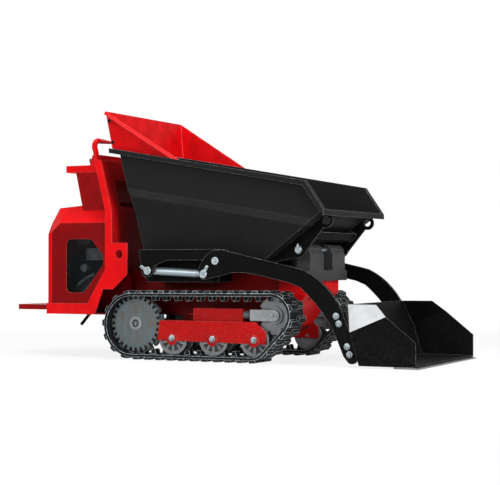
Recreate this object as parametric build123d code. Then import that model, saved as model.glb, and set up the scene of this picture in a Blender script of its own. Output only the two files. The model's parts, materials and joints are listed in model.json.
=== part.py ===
from build123d import *
import os
from math import acos, cos, degrees, hypot, pi, radians, sin, tan

# Compact tracked site dumper with a self-loading shovel.
# X runs forward and is measured from the sprocket axle until the final shift, Y runs to the left and
# Z runs up from the ground. Lengths are millimetres. "right" is the -Y side, "left" the +Y side.

# Clearances
seat_gap = 0.3
pin_gap = 0.3
side_gap = 0.4
trim_reach = 10.0

# Rubber track
track_centre = 349.0
track_width = 180.0
track_pitch = 72.0
belt_thickness = 16.0
lug_height = 14.0
lug_foot = 44.0
lug_tip = 30.0
lug_stagger = 9.0
lug_inset = 4.0
horn_offset = 22.0
horn_width = 8.0
horn_height = 28.0
horn_foot = 34.0
horn_tip = 20.0
belt_gap = 0.5

# Sprocket
sprocket_teeth = 14
sprocket_radius = 160.0
sprocket_thickness = 28.0
sprocket_gap_radius = 10.5
sprocket_gap_depth = 24.0
sprocket_hub_radius = 36.0
sprocket_hub_height = 6.0
sprocket_bore_radius = 15.0
sprocket_bore_depth = 12.0

# Drive motor
motor_radius = 62.0
motor_flange_radius = 84.0
motor_flange_thickness = 14.0

# Rollers
roller_radius = 85.0
roller_places = (238.0, 489.0, 739.0)
roller_half = 41.0
roller_groove_half = 28.5
roller_groove_radius = 55.0
roller_pocket_count = 5
roller_pocket_depth = 7.0
roller_rim = 13.0
roller_hub_radius = 27.0
roller_spoke = 13.0
axle_radius = 8.0
axle_boss_radius = 32.0
axle_boss_height = 3.0
bolt_head_radius = 13.0
bolt_head_height = 10.0

# Idler
idler_x = 850.0
idler_z = 254.0
idler_radius = 102.0
idler_thickness = 28.0
idler_hub_radius = 46.0
idler_hub_half = 24.0
idler_notch_count = 8
idler_notch_width = 16.0
idler_notch_depth = 14.0

# Track frame
frame_plate = 8.0
frame_plate_offset = 42.0
frame_top = 218.0
frame_rear_top = 158.0
frame_rear_bottom = 145.0
frame_rear_bottom_z = 109.0
frame_front = 809.0
frame_front_bottom_z = 100.0
frame_front_top_z = 167.0
frame_top_front = 747.0
frame_lid_rear = 176.0

# Tensioner
tension_tube_rear = 361.0
tension_tube_front = 659.0
tension_tube_height = 69.0
tension_tube_half = 30.0
tension_rod_radius = 17.0
fork_rear = 708.0
fork_bridge = 26.0
fork_front_radius = 30.0
fork_plate = 8.0
fork_offset = 27.0
grease_length = 40.0
grease_radius = 4.0

# Chassis
chassis_half = 209.0
chassis_wall = 8.0
chassis_rear = -207.0
chassis_bottom = 242.0
chassis_top = 490.0
belly_bottom = 150.0
belly_rear = 240.0
belly_step = 200.0
nose_front = 973.0
nose_top = 437.0
nose_chamfer_top = 372.0
nose_chamfer_bottom_x = 771.0
nose_shelf_rear = 866.0
cross_beam_places = (300.0, 580.0)
cross_beam_size = 70.0

# Rear deck and side frames
deck_half = 372.0
deck_rear = -603.0
deck_plate = 8.0
rail_top = 303.0
side_plate = 8.0
post_rear = -207.0
post_front = -165.0
post_top = 830.0
strip_lean = 0.2546
strip_top = 1118.0
tie_plate_front = -62.0
tie_plate_top = 647.0
tie_plate_low = 469.0
tie_plate_bottom = 386.0
tie_plate_heel = -157.0
tie_hole_x = -117.0
tie_hole_z = 583.5
tie_hole_radius = 25.0
diagonal_foot_rear = -326.0
diagonal_foot_front = -275.0
diagonal_head_z = 497.0
diagonal_heel = -224.0

# Hood
hood_wall = 3.0
hood_rear_corner = 60.0
hood_shoulder = 763.0
hood_slope = 1.0
hood_rear_top = 762.0
hood_roof_rear_x = -532.0
hood_roof_rear_z = 845.0
hood_roof_front_z = 868.0
window_rear = -464.0
window_front = -224.0
window_bottom = 365.0
window_top = 670.0
window_top_front = -374.0
window_nose_z = 545.0
window_foot_front = -352.0
window_corner = 34.0
grille_thickness = 2.5
grille_lap = 14.0

# Engine
engine_length = 300.0
engine_width = 380.0
engine_height = 330.0
engine_centre_x = -400.0

# Bulkhead behind the skip
bulkhead_front = -62.0
bulkhead_bend = 640.0
bulkhead_top = 1118.0
bulkhead_wall = 6.0
bulkhead_opening_half = 255.0
bulkhead_opening_bottom = 856.0
bulkhead_opening_top = 1012.0

# Console
console_half = 300.0
column_rear_bottom = -406.0
column_rear_top = -455.0
column_front_bottom = -209.0
column_front_top = -266.0
column_bottom = 835.0
column_top = 1056.0
column_wall = 3.0
tray_rear = -522.0
tray_front = -284.0
tray_height = 40.0
tower_rear = -405.0
tower_front = -284.0
tower_top = 1153.0
tower_ledge_rear = -368.0
tower_ledge_front = -300.0
tower_half = 300.0
tower_wall = 3.0
lever_count = 4
lever_radius = 6.0
lever_length = 120.0
lever_knob_radius = 14.0
lever_spacing = 90.0
lever_base_x = -455.0
handle_radius = 16.0
handle_half = 250.0
handle_top = 1245.0
handle_top_x = -308.5
handle_foot_x = -256.5
handle_foot_z = 1060.0
handle_bend = 48.0

# Footplate
step_half = 250.0
step_rear = -891.0
step_front = -618.0
step_top = 290.0
step_sheet = 5.0
step_depth = 30.0
step_hinge_x = -628.0
step_hinge_z = 272.0
step_hinge_radius = 8.0
step_lug_offset = 232.0
step_lug = 10.0
step_lug_radius = 17.0

# Drain tube
drain_radius = 9.0
drain_collar = 12.0
drain_top_x = -420.0
drain_y = -215.0
drain_drop = 66.0
drain_run = 52.0

# Pedestal
pedestal_front = 1000.0
pedestal_depth = 110.0
pedestal_half = 268.0
pedestal_beam_height = 55.0
column_outer = 239.0
column_inner = 63.0
pedestal_column_top = 580.0
column_depth = 90.0
pedestal_boss_radius = 31.0

# Skip hinge and ram
skip_hinge_x = 958.0
skip_hinge_z = 605.0
skip_pin_radius = 15.0
ram_foot_x = 420.0
ram_foot_z = 300.0
ram_eye_x = 722.0
ram_eye_z = 462.0
ram_tube_radius = 36.0
ram_rod_radius = 15.5
ram_eye_radius = 26.0
ram_eye_half = 16.0
ram_pin_radius = 12.0
ram_lug = 10.0
ram_neck = 40.0

# Skip
skip_wall = 4.0
skip_rim_x = (-97.0, 1053.0)
skip_rim_z = (1157.0, 966.0)
skip_lip = (1160.0, 812.0)
skip_lip_depth = 20.0
skip_toe = (793.0, 559.0)
skip_sole = (723.0, 506.0)
skip_heel = (50.0, 506.0)
skip_knee = (0.0, 776.0)
skip_half = 405.0
skip_band_top = 195.0
skip_band_bottom = 238.0
skip_band_half = 388.0
skip_floor_half = 335.0
skip_floor_depth = 640.0
rim_half = 439.0
rim_rear = -146.0
rim_rear_top = 1176.0
rim_height = 26.0
rim_front_width = 24.0
lip_height = 28.0
pad_radius = 28.0
pad_place = 120.0

# Skip underframe
under_offset = 292.0
under_plate = 14.0
eye_x = 1117.0
eye_z = 760.0
eye_ring = 37.0
eye_hole = 20.0
under_boss_radius = 42.0
under_rear = 640.0
under_toe = 12.0
gusset_thickness = 5.0

# Spill guard on the rear of the skip
guard_sheet = 3.0
guard_foot_half = 408.0
guard_top_half = 432.0
guard_top_x = -178.0
guard_top_z = 1384.0
guard_nose_x = 281.0
guard_fold = 18.0
guard_fold_drop = 3.0

# Loader arms
arm_inner = 450.0
arm_thickness = 16.0
arm_gap = 2.0
arm_pivot_x = 542.0
arm_pivot_z = 545.0
arm_pin_radius = 20.0
arm_lobe_radius = 30.0
lever_x = 470.0
lever_z = 474.0
lever_pin_radius = 12.0

# Arm brackets
bracket_outer = 448.0
bracket_plate = 12.0
bracket_inner_plate = 10.0
bracket_inner = 370.0
bracket_top = 608.0
bracket_rear = 57.0
bracket_flange = 8.0
bracket_cut_z = 550.0
bracket_boss_radius = 56.0
outrigger_places = (70.0, 440.0)
outrigger_width = 70.0
outrigger_bottom = 430.0
outrigger_height = 52.0

# Loader cylinders
cylinder_centre = 407.0
cylinder_rear_x = 112.0
cylinder_rear_z = 491.0
cylinder_radius = 22.5
cylinder_tube_rear = 26.0
cylinder_tube_length = 268.0
cylinder_gland = 12.0
cylinder_rod_radius = 11.0
cylinder_eye_radius = 21.0
cylinder_eye_half = 12.0
cylinder_pin_radius = 12.0
pin_head_radius = 20.0
pin_head_height = 6.0

# Bucket
bucket_half = 478.0
bucket_floor_rear = 1372.0
bucket_floor_z = 10.0
bucket_floor_plate = 8.0
bucket_front = 1677.0
bucket_side_z = 134.0
bucket_bend_x = 1518.0
bucket_bend_z = 262.0
bucket_top_front = 1450.0
bucket_top_rear = 1280.0
bucket_top = 321.0
bucket_top_half = 400.0
bucket_fold_z = 180.0
bucket_wall = 6.0
edge_rear = 1560.0
edge_front = 1694.0
edge_bottom = 1.0
edge_bevel = 30.0
ear_thickness = 15.0
mount_tube = 70.0
mount_tube_z = 190.0

right, left = -1.0, 1.0
overall_shift = -(step_rear + edge_front) / 2.0

parts = {}


def outline(start, *moves):
    """Closed sketch face. A move is a point, or the middle and end of an arc."""
    edges = []
    here = start
    for move in moves:
        if isinstance(move[0], tuple):
            edges.append(ThreePointArc(here, *move))
            here = move[1]
        else:
            edges.append(Line(here, move))
            here = move
    if here != start:
        edges.append(Line(here, start))
    return make_face(edges)


def slab(face, y_low, y_high):
    """Extrude an XZ outline from one Y station to the next."""
    return extrude(Plane.XZ.offset(-y_high) * face, amount=y_high - y_low)


def disc(x, z, radius, y_low, y_high):
    """Round bar along Y."""
    return slab(Pos(x, z) * Circle(radius), y_low, y_high)


def box(x_low, x_high, y_low, y_high, z_low, z_high):
    """Block between two opposite corners."""
    middle = ((x_low + x_high) / 2, (y_low + y_high) / 2, (z_low + z_high) / 2)
    return Pos(*middle) * Box(x_high - x_low, y_high - y_low, z_high - z_low)


def rod(start, end, radius):
    """Round bar between two points."""
    run = Vector(*end) - Vector(*start)
    return extrude(Plane(origin=start, z_dir=run) * Circle(radius), amount=run.length)


def sheet(points, thickness):
    """Flat sheet on 3-D corner points, thickened along its right-hand normal."""
    return extrude(make_face(Polyline(*points, close=True)), amount=thickness)


def mirrored(shape):
    """The same piece on the left side of the machine."""
    return mirror(shape, about=Plane.XZ)


def inset(points, amounts):
    """Move each edge of a clockwise or counter-clockwise polygon inward by its own amount."""
    count = len(points)
    area = sum(points[i - 1][0] * points[i][1] - points[i][0] * points[i - 1][1] for i in range(count))
    turn = 1.0 if area > 0 else -1.0
    lines = []
    for i, amount in enumerate(amounts):
        (ax, az), (bx, bz) = points[i], points[(i + 1) % count]
        length = hypot(bx - ax, bz - az)
        nx, nz = -turn * (bz - az) / length, turn * (bx - ax) / length
        lines.append((nx, nz, nx * ax + nz * az + amount))
    corners = []
    for i in range(count):
        (a, b, c), (d, e, f) = lines[i - 1], lines[i]
        det = a * e - b * d
        corners.append(((c * e - b * f) / det, (a * f - c * d) / det))
    return corners


def add(name, *shapes):
    """Keep a node's solids, shifted so that the origin is below the middle of the machine."""
    solids = [Pos(overall_shift, 0, 0) * shape for shape in shapes]
    parts[name] = solids[0] if len(solids) == 1 else Compound(children=solids)


def add_pair(name, *shapes):
    """Keep a right-hand node and its mirror image."""
    add(name + "_right", *shapes)
    add(name + "_left", *[mirrored(shape) for shape in shapes])


# Track loop: the belt's inner surface runs round the sprocket, the front roller and the idler.
sprocket_z = lug_height + belt_thickness + belt_gap + sprocket_radius
roller_z = lug_height + belt_thickness + seat_gap + roller_radius
belt_wheels = (
    (0.0, sprocket_z, sprocket_radius + belt_gap),
    (roller_places[-1], roller_z, roller_radius + seat_gap),
    (idler_x, idler_z, idler_radius + seat_gap),
)


def loop_normals():
    """Angles of the outward normals of the belt's straight runs, in order round the loop."""
    angles = []
    for i, (x, z, radius) in enumerate(belt_wheels):
        next_x, next_z, next_radius = belt_wheels[(i + 1) % len(belt_wheels)]
        run = Vector(next_x - x, next_z - z)
        base = run.get_signed_angle(Vector(1, 0), Vector(0, 0, -1))
        angles.append(base - degrees(acos((radius - next_radius) / run.length)))
    return angles


def on_circle(x, z, radius, angle):
    return x + radius * cos(radians(angle)), z + radius * sin(radians(angle))


def loop_face(offset):
    """Face inside the belt loop, grown by an offset."""
    angles = loop_normals()
    moves = []
    for i, (x, z, radius) in enumerate(belt_wheels):
        low = angles[i - 1]
        high = low + (angles[i] - low) % 360.0
        grown = radius + offset
        start, middle, end = (on_circle(x, z, grown, a) for a in (low, (low + high) / 2, high))
        moves.append(start)
        moves.append((middle, end))
    return outline(moves[0], *moves[1:])


def loop_stations():
    """Evenly spaced places on the belt's inner surface, each with its outward angle."""
    angles = loop_normals()
    pieces = []
    for i, (x, z, radius) in enumerate(belt_wheels):
        low = angles[i - 1]
        sweep = (angles[i] - low) % 360.0
        pieces.append(("arc", radians(sweep) * radius, (x, z, radius, low)))
        next_x, next_z, next_radius = belt_wheels[(i + 1) % len(belt_wheels)]
        start = on_circle(x, z, radius, angles[i])
        end = on_circle(next_x, next_z, next_radius, angles[i])
        length = hypot(end[0] - start[0], end[1] - start[1])
        pieces.append(("run", length, (start, end, angles[i])))
    total = sum(piece[1] for piece in pieces)
    count = round(total / track_pitch)
    stations = []
    for k in range(count):
        along = (k + 0.5) * total / count
        for kind, length, data in pieces:
            if along <= length:
                break
            along -= length
        if kind == "arc":
            x, z, radius, low = data
            angle = low + degrees(along / radius)
            place = on_circle(x, z, radius, angle)
        else:
            start, end, angle = data
            share = along / length
            place = tuple(a + (b - a) * share for a, b in zip(start, end))
        stations.append((place[0], place[1], angle))
    return stations


def tapered_block(foot, tip, height, y_low, y_high, root):
    """Block that stands on Z = 0, sunk a little to join what carries it."""
    face = outline((-foot / 2, -root), (foot / 2, -root), (tip / 2, height), (-tip / 2, height))
    return slab(face, y_low, y_high)


def make_track():
    y_low = -track_centre - track_width / 2
    y_high = -track_centre + track_width / 2
    belt = slab(loop_face(belt_thickness) - loop_face(0.0), y_low, y_high)
    root = 2.0
    outer_lug = tapered_block(lug_foot, lug_tip, lug_height, y_low + lug_inset, -track_centre, root)
    inner_lug = tapered_block(lug_foot, lug_tip, lug_height, -track_centre, y_high - lug_inset, root)
    lugs = (Pos(lug_stagger, 0, 0) * outer_lug) + (Pos(-lug_stagger, 0, 0) * inner_lug)
    horns = [
        tapered_block(horn_foot, horn_tip, horn_height, -track_centre + side - horn_width / 2,
                      -track_centre + side + horn_width / 2, root)
        for side in (-horn_offset, horn_offset)
    ]
    extras = []
    for x, z, angle in loop_stations():
        out_x, out_z = on_circle(x, z, belt_thickness, angle)
        extras.append(Pos(out_x, 0, out_z) * Rot(0, 90 - angle, 0) * lugs)
        for horn in horns:
            extras.append(Pos(x, 0, z) * Rot(0, 270 - angle, 0) * horn)
    return belt.fuse(*extras)


def make_sprocket():
    half = sprocket_thickness / 2
    reach = sprocket_gap_depth
    gap = Circle(sprocket_gap_radius) + Pos(reach / 2, 0) * Rectangle(reach, 2 * sprocket_gap_radius)
    gaps = PolarLocations(sprocket_radius - reach + sprocket_gap_radius, sprocket_teeth) * gap
    wheel = slab(Pos(0, sprocket_z) * (Circle(sprocket_radius) - gaps), -track_centre - half,
                 -track_centre + half)
    face_y = -track_centre - half
    wheel += disc(0, sprocket_z, sprocket_hub_radius, face_y - sprocket_hub_height, face_y)
    wheel -= disc(0, sprocket_z, sprocket_bore_radius, face_y - sprocket_hub_height,
                  face_y - sprocket_hub_height + sprocket_bore_depth)
    return wheel


def make_motor():
    plate_y = -track_centre + sprocket_thickness / 2
    body = disc(0, sprocket_z, motor_radius, plate_y, -chassis_half)
    return body + disc(0, sprocket_z, motor_flange_radius, -chassis_half - motor_flange_thickness,
                       -chassis_half)


def roller_pocket():
    """One recess between two spokes, as a sector with parallel spoke sides."""
    inner, outer = roller_hub_radius, roller_radius - roller_rim
    ring = Circle(outer) - Circle(inner)
    wedge = outline((0, 0), (2 * outer, -2 * outer * tan(pi / roller_pocket_count)),
                    (2 * outer, 2 * outer * tan(pi / roller_pocket_count)))
    shift = roller_spoke / 2 / sin(pi / roller_pocket_count)
    return ring & (Pos(shift, 0) * wedge)


def make_roller(x):
    outer_y = -track_centre - roller_half
    wheel = disc(x, roller_z, roller_radius, outer_y, -track_centre + roller_half)
    groove = disc(x, roller_z, roller_radius + 1, -track_centre - roller_groove_half,
                  -track_centre + roller_groove_half)
    core = disc(x, roller_z, roller_groove_radius, -track_centre - roller_groove_half,
                -track_centre + roller_groove_half)
    wheel = wheel - (groove - core)
    for place in PolarLocations(0, roller_pocket_count, start_angle=90):
        pocket = Pos(x, roller_z) * (place * roller_pocket())
        wheel -= slab(pocket, outer_y, outer_y + roller_pocket_depth)
    plate_y = -track_centre - frame_plate_offset - frame_plate
    boss_y = plate_y - axle_boss_height
    head_y = boss_y - seat_gap - bolt_head_height
    axle = disc(x, roller_z, axle_radius, head_y, -track_centre + frame_plate_offset + frame_plate)
    head = slab(Pos(x, roller_z) * RegularPolygon(bolt_head_radius, 6), head_y,
                head_y + bolt_head_height)
    return wheel + axle + head


def frame_side_outline():
    return outline((frame_rear_top, frame_top), (frame_rear_bottom, frame_rear_bottom_z),
                   (frame_front, frame_front_bottom_z), (frame_front, frame_front_top_z),
                   (frame_top_front, frame_top))


def make_track_frame():
    """Outer and inner side plates under one lid, with a round boss at each roller axle."""
    near = frame_plate_offset + frame_plate
    plates = slab(frame_side_outline(), -track_centre - near, -track_centre - frame_plate_offset)
    plates += slab(frame_side_outline(), -track_centre + frame_plate_offset, -track_centre + near)
    plates += box(frame_lid_rear, frame_top_front, -track_centre - near, -track_centre + near,
                  frame_top - frame_plate, frame_top)
    for x in roller_places:
        plates += disc(x, roller_z, axle_boss_radius, -track_centre - near - axle_boss_height,
                       -track_centre - near)
    for x in roller_places:
        plates -= disc(x, roller_z, axle_radius + pin_gap, -track_centre - near - 2 * axle_boss_height,
                       -track_centre + near)
    return plates


def make_idler():
    half = idler_thickness / 2
    notch = Pos(idler_radius, 0) * Rectangle(2 * idler_notch_depth, idler_notch_width)
    rim = Circle(idler_radius) - PolarLocations(0, idler_notch_count, start_angle=22.5) * notch
    wheel = slab(Pos(idler_x, idler_z) * rim, -track_centre - half, -track_centre + half)
    wheel += disc(idler_x, idler_z, idler_hub_radius, -track_centre - idler_hub_half,
                  -track_centre + idler_hub_half)
    reach = fork_offset + fork_plate
    return wheel + disc(idler_x, idler_z, axle_radius, -track_centre - reach, -track_centre + reach)


def make_tensioner():
    """Grease-filled tube on the frame, with its rod and the fork that holds the idler."""
    low = frame_top
    tube = box(tension_tube_rear, tension_tube_front, -track_centre - tension_tube_half,
               -track_centre + tension_tube_half, low, low + tension_tube_height)
    stem = rod((tension_tube_front - 5, -track_centre, idler_z),
               (fork_rear + 5, -track_centre, idler_z), tension_rod_radius)
    nipple = rod((tension_tube_rear - grease_length, -track_centre, idler_z),
                 (tension_tube_rear + 5, -track_centre, idler_z), grease_radius)
    reach = fork_offset + fork_plate
    radius = fork_front_radius
    bridge = box(fork_rear, fork_rear + fork_bridge, -track_centre - reach, -track_centre + reach,
                 idler_z - radius, idler_z + radius)
    blade = outline((fork_rear, idler_z - radius), (idler_x, idler_z - radius),
                    ((idler_x + radius, idler_z), (idler_x, idler_z + radius)),
                    (fork_rear, idler_z + radius))
    blade -= Pos(idler_x, idler_z) * Circle(axle_radius + pin_gap)
    fork = bridge
    fork += slab(blade, -track_centre - reach, -track_centre - fork_offset)
    fork += slab(blade, -track_centre + fork_offset, -track_centre + reach)
    return tube + stem + nipple + fork


def make_chassis():
    """Welded tub: side plates, floor, belly, nose plates and the beams that carry the tracks."""
    points = [
        (chassis_rear, chassis_bottom), (belly_step, chassis_bottom), (belly_rear, belly_bottom),
        (nose_chamfer_bottom_x, belly_bottom), (nose_front, nose_chamfer_top), (nose_front, nose_top),
        (nose_shelf_rear, nose_top), (nose_shelf_rear, chassis_top), (chassis_rear, chassis_top),
    ]
    open_top = 20.0
    walls = [chassis_wall] * 8
    inner = inset(points, walls[:7] + [-open_top] + walls[:1])
    tub = slab(outline(*points), -chassis_half, chassis_half)
    tub -= slab(outline(*inner), -chassis_half + chassis_wall, chassis_half - chassis_wall)
    reach = track_centre - frame_plate_offset - frame_plate
    for x in cross_beam_places:
        half = cross_beam_size / 2
        beam = box(x - half, x + half, -reach, reach, belly_bottom, belly_bottom + cross_beam_size)
        middle = box(x - half, x + half, -chassis_half + 1, chassis_half - 1, belly_bottom,
                     belly_bottom + cross_beam_size)
        tub += beam - middle
    deck = box(deck_rear, chassis_rear + 1, -deck_half, deck_half, chassis_bottom,
               chassis_bottom + deck_plate)
    for side in (right, left):
        low, high = sorted((side * deck_half, side * (deck_half - deck_plate)))
        deck += box(deck_rear, diagonal_foot_rear, low, high, chassis_bottom, rail_top)
    deck += box(deck_rear, deck_rear + deck_plate, -deck_half, deck_half, chassis_bottom, rail_top)
    for side in (right, left):
        for offset in (step_lug_offset - step_lug - side_gap, step_lug_offset + step_lug + side_gap):
            low = side * offset - step_lug / 2
            ear = outline((deck_rear, step_hinge_z - step_lug_radius),
                          (step_hinge_x, step_hinge_z - step_lug_radius),
                          ((step_hinge_x - step_lug_radius, step_hinge_z),
                           (step_hinge_x, step_hinge_z + step_lug_radius)),
                          (deck_rear, step_hinge_z + step_lug_radius))
            ear -= Pos(step_hinge_x, step_hinge_z) * Circle(step_hinge_radius + pin_gap)
            deck += slab(ear, low, low + step_lug)
    tub += deck
    tub += make_ram_feet()
    return tub


def make_ram_feet():
    """Lugs on the tub's floor that hold the tipping ram's lower pin."""
    feet = None
    for side in (right, left):
        inner = ram_eye_half + side_gap
        low, high = sorted((side * inner, side * (inner + ram_lug)))
        lug = outline((ram_foot_x - 45, belly_bottom + chassis_wall),
                      (ram_foot_x + 45, belly_bottom + chassis_wall),
                      (ram_foot_x + ram_eye_radius, ram_foot_z),
                      ((ram_foot_x, ram_foot_z + ram_eye_radius),
                       (ram_foot_x - ram_eye_radius, ram_foot_z)))
        piece = slab(lug, low, high) - disc(ram_foot_x, ram_foot_z, ram_pin_radius + pin_gap, low, high)
        feet = piece if feet is None else feet + piece
    return feet


def side_frame_outline():
    """Bent side frame: lower rail, diagonal, lashing plate, post and leaning head strip."""
    lean = strip_lean * (strip_top - post_top)
    return outline(
        (deck_rear, chassis_bottom), (diagonal_foot_front, chassis_bottom),
        (diagonal_heel, tie_plate_bottom), (tie_plate_heel, tie_plate_bottom),
        (tie_plate_front, tie_plate_low), (tie_plate_front, tie_plate_top),
        (post_front, tie_plate_top), (post_front, post_top), (post_front - lean, strip_top),
        (post_rear - lean, strip_top), (post_rear, post_top), (post_rear, diagonal_head_z),
        (diagonal_foot_rear, rail_top), (deck_rear, rail_top))


def make_side_frame():
    face = side_frame_outline() - Pos(tie_hole_x, tie_hole_z) * Circle(tie_hole_radius)
    return slab(face, -deck_half - side_plate, -deck_half)


def hood_solid(shrink):
    """Outer or inner form of the hood, as three crossing outlines."""
    side = [
        (deck_rear, rail_top), (deck_rear, hood_rear_top), (hood_roof_rear_x, hood_roof_rear_z),
        (post_rear, hood_roof_front_z), (post_rear, diagonal_head_z), (diagonal_foot_rear, rail_top),
    ]
    drop = hood_roof_front_z - hood_shoulder
    section = [
        (-deck_half, rail_top), (-deck_half, hood_shoulder),
        (-deck_half + drop / hood_slope, hood_roof_front_z),
        (deck_half - drop / hood_slope, hood_roof_front_z), (deck_half, hood_shoulder),
        (deck_half, rail_top),
    ]
    plan = [
        (deck_rear, -deck_half + hood_rear_corner), (deck_rear, deck_half - hood_rear_corner),
        (deck_rear + hood_rear_corner, deck_half), (post_rear, deck_half),
        (post_rear, -deck_half), (deck_rear + hood_rear_corner, -deck_half),
    ]
    if shrink:
        through = -20.0
        side = inset(side, [shrink, shrink, shrink, through, through, through])
        section = inset(section, [shrink] * 5 + [through])
        plan = inset(plan, [shrink, shrink, shrink, through, shrink, shrink])
    reach = 2 * deck_half
    solid = slab(outline(*side), -reach, reach)
    across = extrude(Plane.YZ.offset(-reach) * outline(*section), amount=2 * reach)
    upward = extrude(outline(*plan), amount=2 * reach)
    return solid & across & upward


def window_outline(grow=0.0):
    points = [
        (window_rear, window_bottom), (window_rear, window_top), (window_top_front, window_top),
        (window_front, window_nose_z), (window_foot_front, window_bottom),
    ]
    if grow:
        points = inset(points, [-grow] * len(points))
    face = outline(*points)
    corners = face.vertices().sort_by(Axis.X)[:4]
    return fillet(corners, window_corner)


def make_hood():
    shell = hood_solid(0.0) - hood_solid(hood_wall)
    return shell - slab(window_outline(), -2 * deck_half, 2 * deck_half)


def make_grille():
    wall_y = -deck_half + hood_wall
    panel = slab(window_outline(grille_lap), wall_y, wall_y + grille_thickness)
    return panel - box(post_rear - 1, 0, -deck_half, 0, rail_top, hood_shoulder)


def make_engine():
    floor = chassis_bottom + deck_plate
    return box(engine_centre_x - engine_length / 2, engine_centre_x + engine_length / 2,
               -engine_width / 2, engine_width / 2, floor, floor + engine_height)


def make_bulkhead():
    """Panel behind the skip, with a service opening and flanges that return to the posts."""
    lean = strip_lean * (bulkhead_top - bulkhead_bend)
    front = [
        (bulkhead_front, chassis_top), (bulkhead_front, bulkhead_bend),
        (bulkhead_front - lean, bulkhead_top),
    ]
    back = [
        (post_rear - strip_lean * (bulkhead_top - post_top), bulkhead_top), (post_rear, post_top),
        (post_rear, chassis_top),
    ]
    body = slab(outline(*front, *back), -deck_half, deck_half)
    reach = 20.0
    hollow = inset(front + back, [bulkhead_wall, bulkhead_wall, -reach, -reach, -reach, -reach])
    body -= slab(outline(*hollow), -deck_half + bulkhead_wall, deck_half - bulkhead_wall)
    body -= box(bulkhead_front - 2 * lean, bulkhead_front + 2, -bulkhead_opening_half,
                bulkhead_opening_half, bulkhead_opening_bottom, bulkhead_opening_top)
    return body


def make_column():
    """Tapered console column, seated on the hood's roof."""
    points = [
        (column_rear_bottom, column_bottom), (column_rear_top, column_top),
        (column_front_top, column_top), (column_front_bottom, column_bottom),
    ]
    reach = 20.0
    hollow = inset(points, [column_wall, -reach, column_wall, -reach])
    body = slab(outline(*points), -console_half, console_half)
    body -= slab(outline(*hollow), -console_half + column_wall, console_half - column_wall)
    return body - hood_solid(0.0)


def make_tray():
    low = column_top
    tray = box(tray_rear, tray_front, -console_half, console_half, low, low + tray_height)
    tray -= box(tray_rear + column_wall, tower_rear - 2 * column_wall, -console_half + column_wall,
                console_half - column_wall, low + column_wall, low + tray_height + 1)
    return tray


def make_tower():
    """Slanted lever guard across the front of the tray."""
    base = column_top + tray_height
    points = [
        (tower_rear, base), (tower_ledge_rear, tower_top), (tower_ledge_front, tower_top),
        (tower_front, base),
    ]
    body = slab(outline(*points), -tower_half, tower_half)
    hollow = inset(points, [tower_wall, tower_wall, tower_wall, -1.0])
    return body - slab(outline(*hollow), -tower_half + tower_wall, tower_half - tower_wall)


def make_levers():
    """Control levers in a row on the tray, each with a round knob."""
    levers = []
    base = column_top + column_wall
    first = -(lever_count - 1) / 2 * lever_spacing
    for i in range(lever_count):
        y = first + i * lever_spacing
        stick = rod((lever_base_x, y, base), (lever_base_x, y, base + lever_length), lever_radius)
        knob = Pos(lever_base_x, y, base + lever_length) * Sphere(lever_knob_radius)
        levers.append(stick + knob)
    return levers


def make_handle():
    """Bent grab rail: two legs and a cross bar."""
    path = FilletPolyline(
        (handle_foot_x, -handle_half, handle_foot_z), (handle_top_x, -handle_half, handle_top),
        (handle_top_x, handle_half, handle_top), (handle_foot_x, handle_half, handle_foot_z),
        radius=handle_bend)
    start = Plane(origin=path @ 0, z_dir=path % 0)
    return sweep(start * Circle(handle_radius), path=path)


def make_footplate():
    tray = box(step_rear, step_front, -step_half, step_half, step_top - step_depth, step_top)
    wall = step_sheet
    tray -= box(step_rear + wall, step_front - wall, -step_half + wall, step_half - wall,
                step_top - step_depth - 1, step_top - wall)
    for side in (right, left):
        low = side * step_lug_offset - step_lug / 2
        lug = outline((step_hinge_x - 3 * step_lug_radius, step_top - wall),
                      (step_hinge_x - step_lug_radius, step_hinge_z - step_lug_radius),
                      (step_hinge_x, step_hinge_z - step_lug_radius),
                      ((step_hinge_x + step_lug_radius * cos(radians(45)),
                        step_hinge_z - step_lug_radius * sin(radians(45))),
                       (step_hinge_x + step_lug_radius, step_hinge_z)),
                      (step_hinge_x + step_lug_radius, step_top - wall))
        room = box(step_hinge_x - 2 * step_lug_radius, deck_rear, side * step_lug_offset
                   - 1.5 * step_lug - 3 * side_gap, side * step_lug_offset + 1.5 * step_lug
                   + 3 * side_gap, step_top - step_depth - 5, step_top + 5)
        tray -= room
        tray += slab(lug, low, low + step_lug)
        tray += disc(step_hinge_x, step_hinge_z, step_hinge_radius, low - step_lug - side_gap,
                     low + 2 * step_lug + side_gap)
    return tray


def make_drain():
    collar_low = chassis_bottom - drain_collar
    collar = Pos(drain_top_x, drain_y, (collar_low + chassis_bottom) / 2) * Cylinder(
        1.5 * drain_radius, drain_collar)
    top = (drain_top_x, drain_y, collar_low + drain_collar / 4)
    foot = (drain_top_x - drain_run, drain_y, chassis_bottom - drain_drop)
    return collar + rod(top, foot, drain_radius)


def make_pedestal():
    """Front cross beam with two box columns and the bosses of the skip's hinge."""
    rear = pedestal_front - pedestal_depth
    body = box(rear, pedestal_front, -pedestal_half, pedestal_half, nose_top,
               nose_top + pedestal_beam_height)
    for side in (right, left):
        low, high = sorted((side * column_inner, side * column_outer))
        column = outline(
            (pedestal_front - column_depth, nose_top), (pedestal_front, nose_top),
            (pedestal_front, pedestal_column_top), (skip_hinge_x + pedestal_boss_radius, skip_hinge_z),
            ((skip_hinge_x, skip_hinge_z + pedestal_boss_radius),
             (skip_hinge_x - pedestal_boss_radius, skip_hinge_z)))
        body += slab(column, low, high)
    return body - disc(skip_hinge_x, skip_hinge_z, skip_pin_radius + pin_gap, -pedestal_half,
                       pedestal_half)


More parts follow.
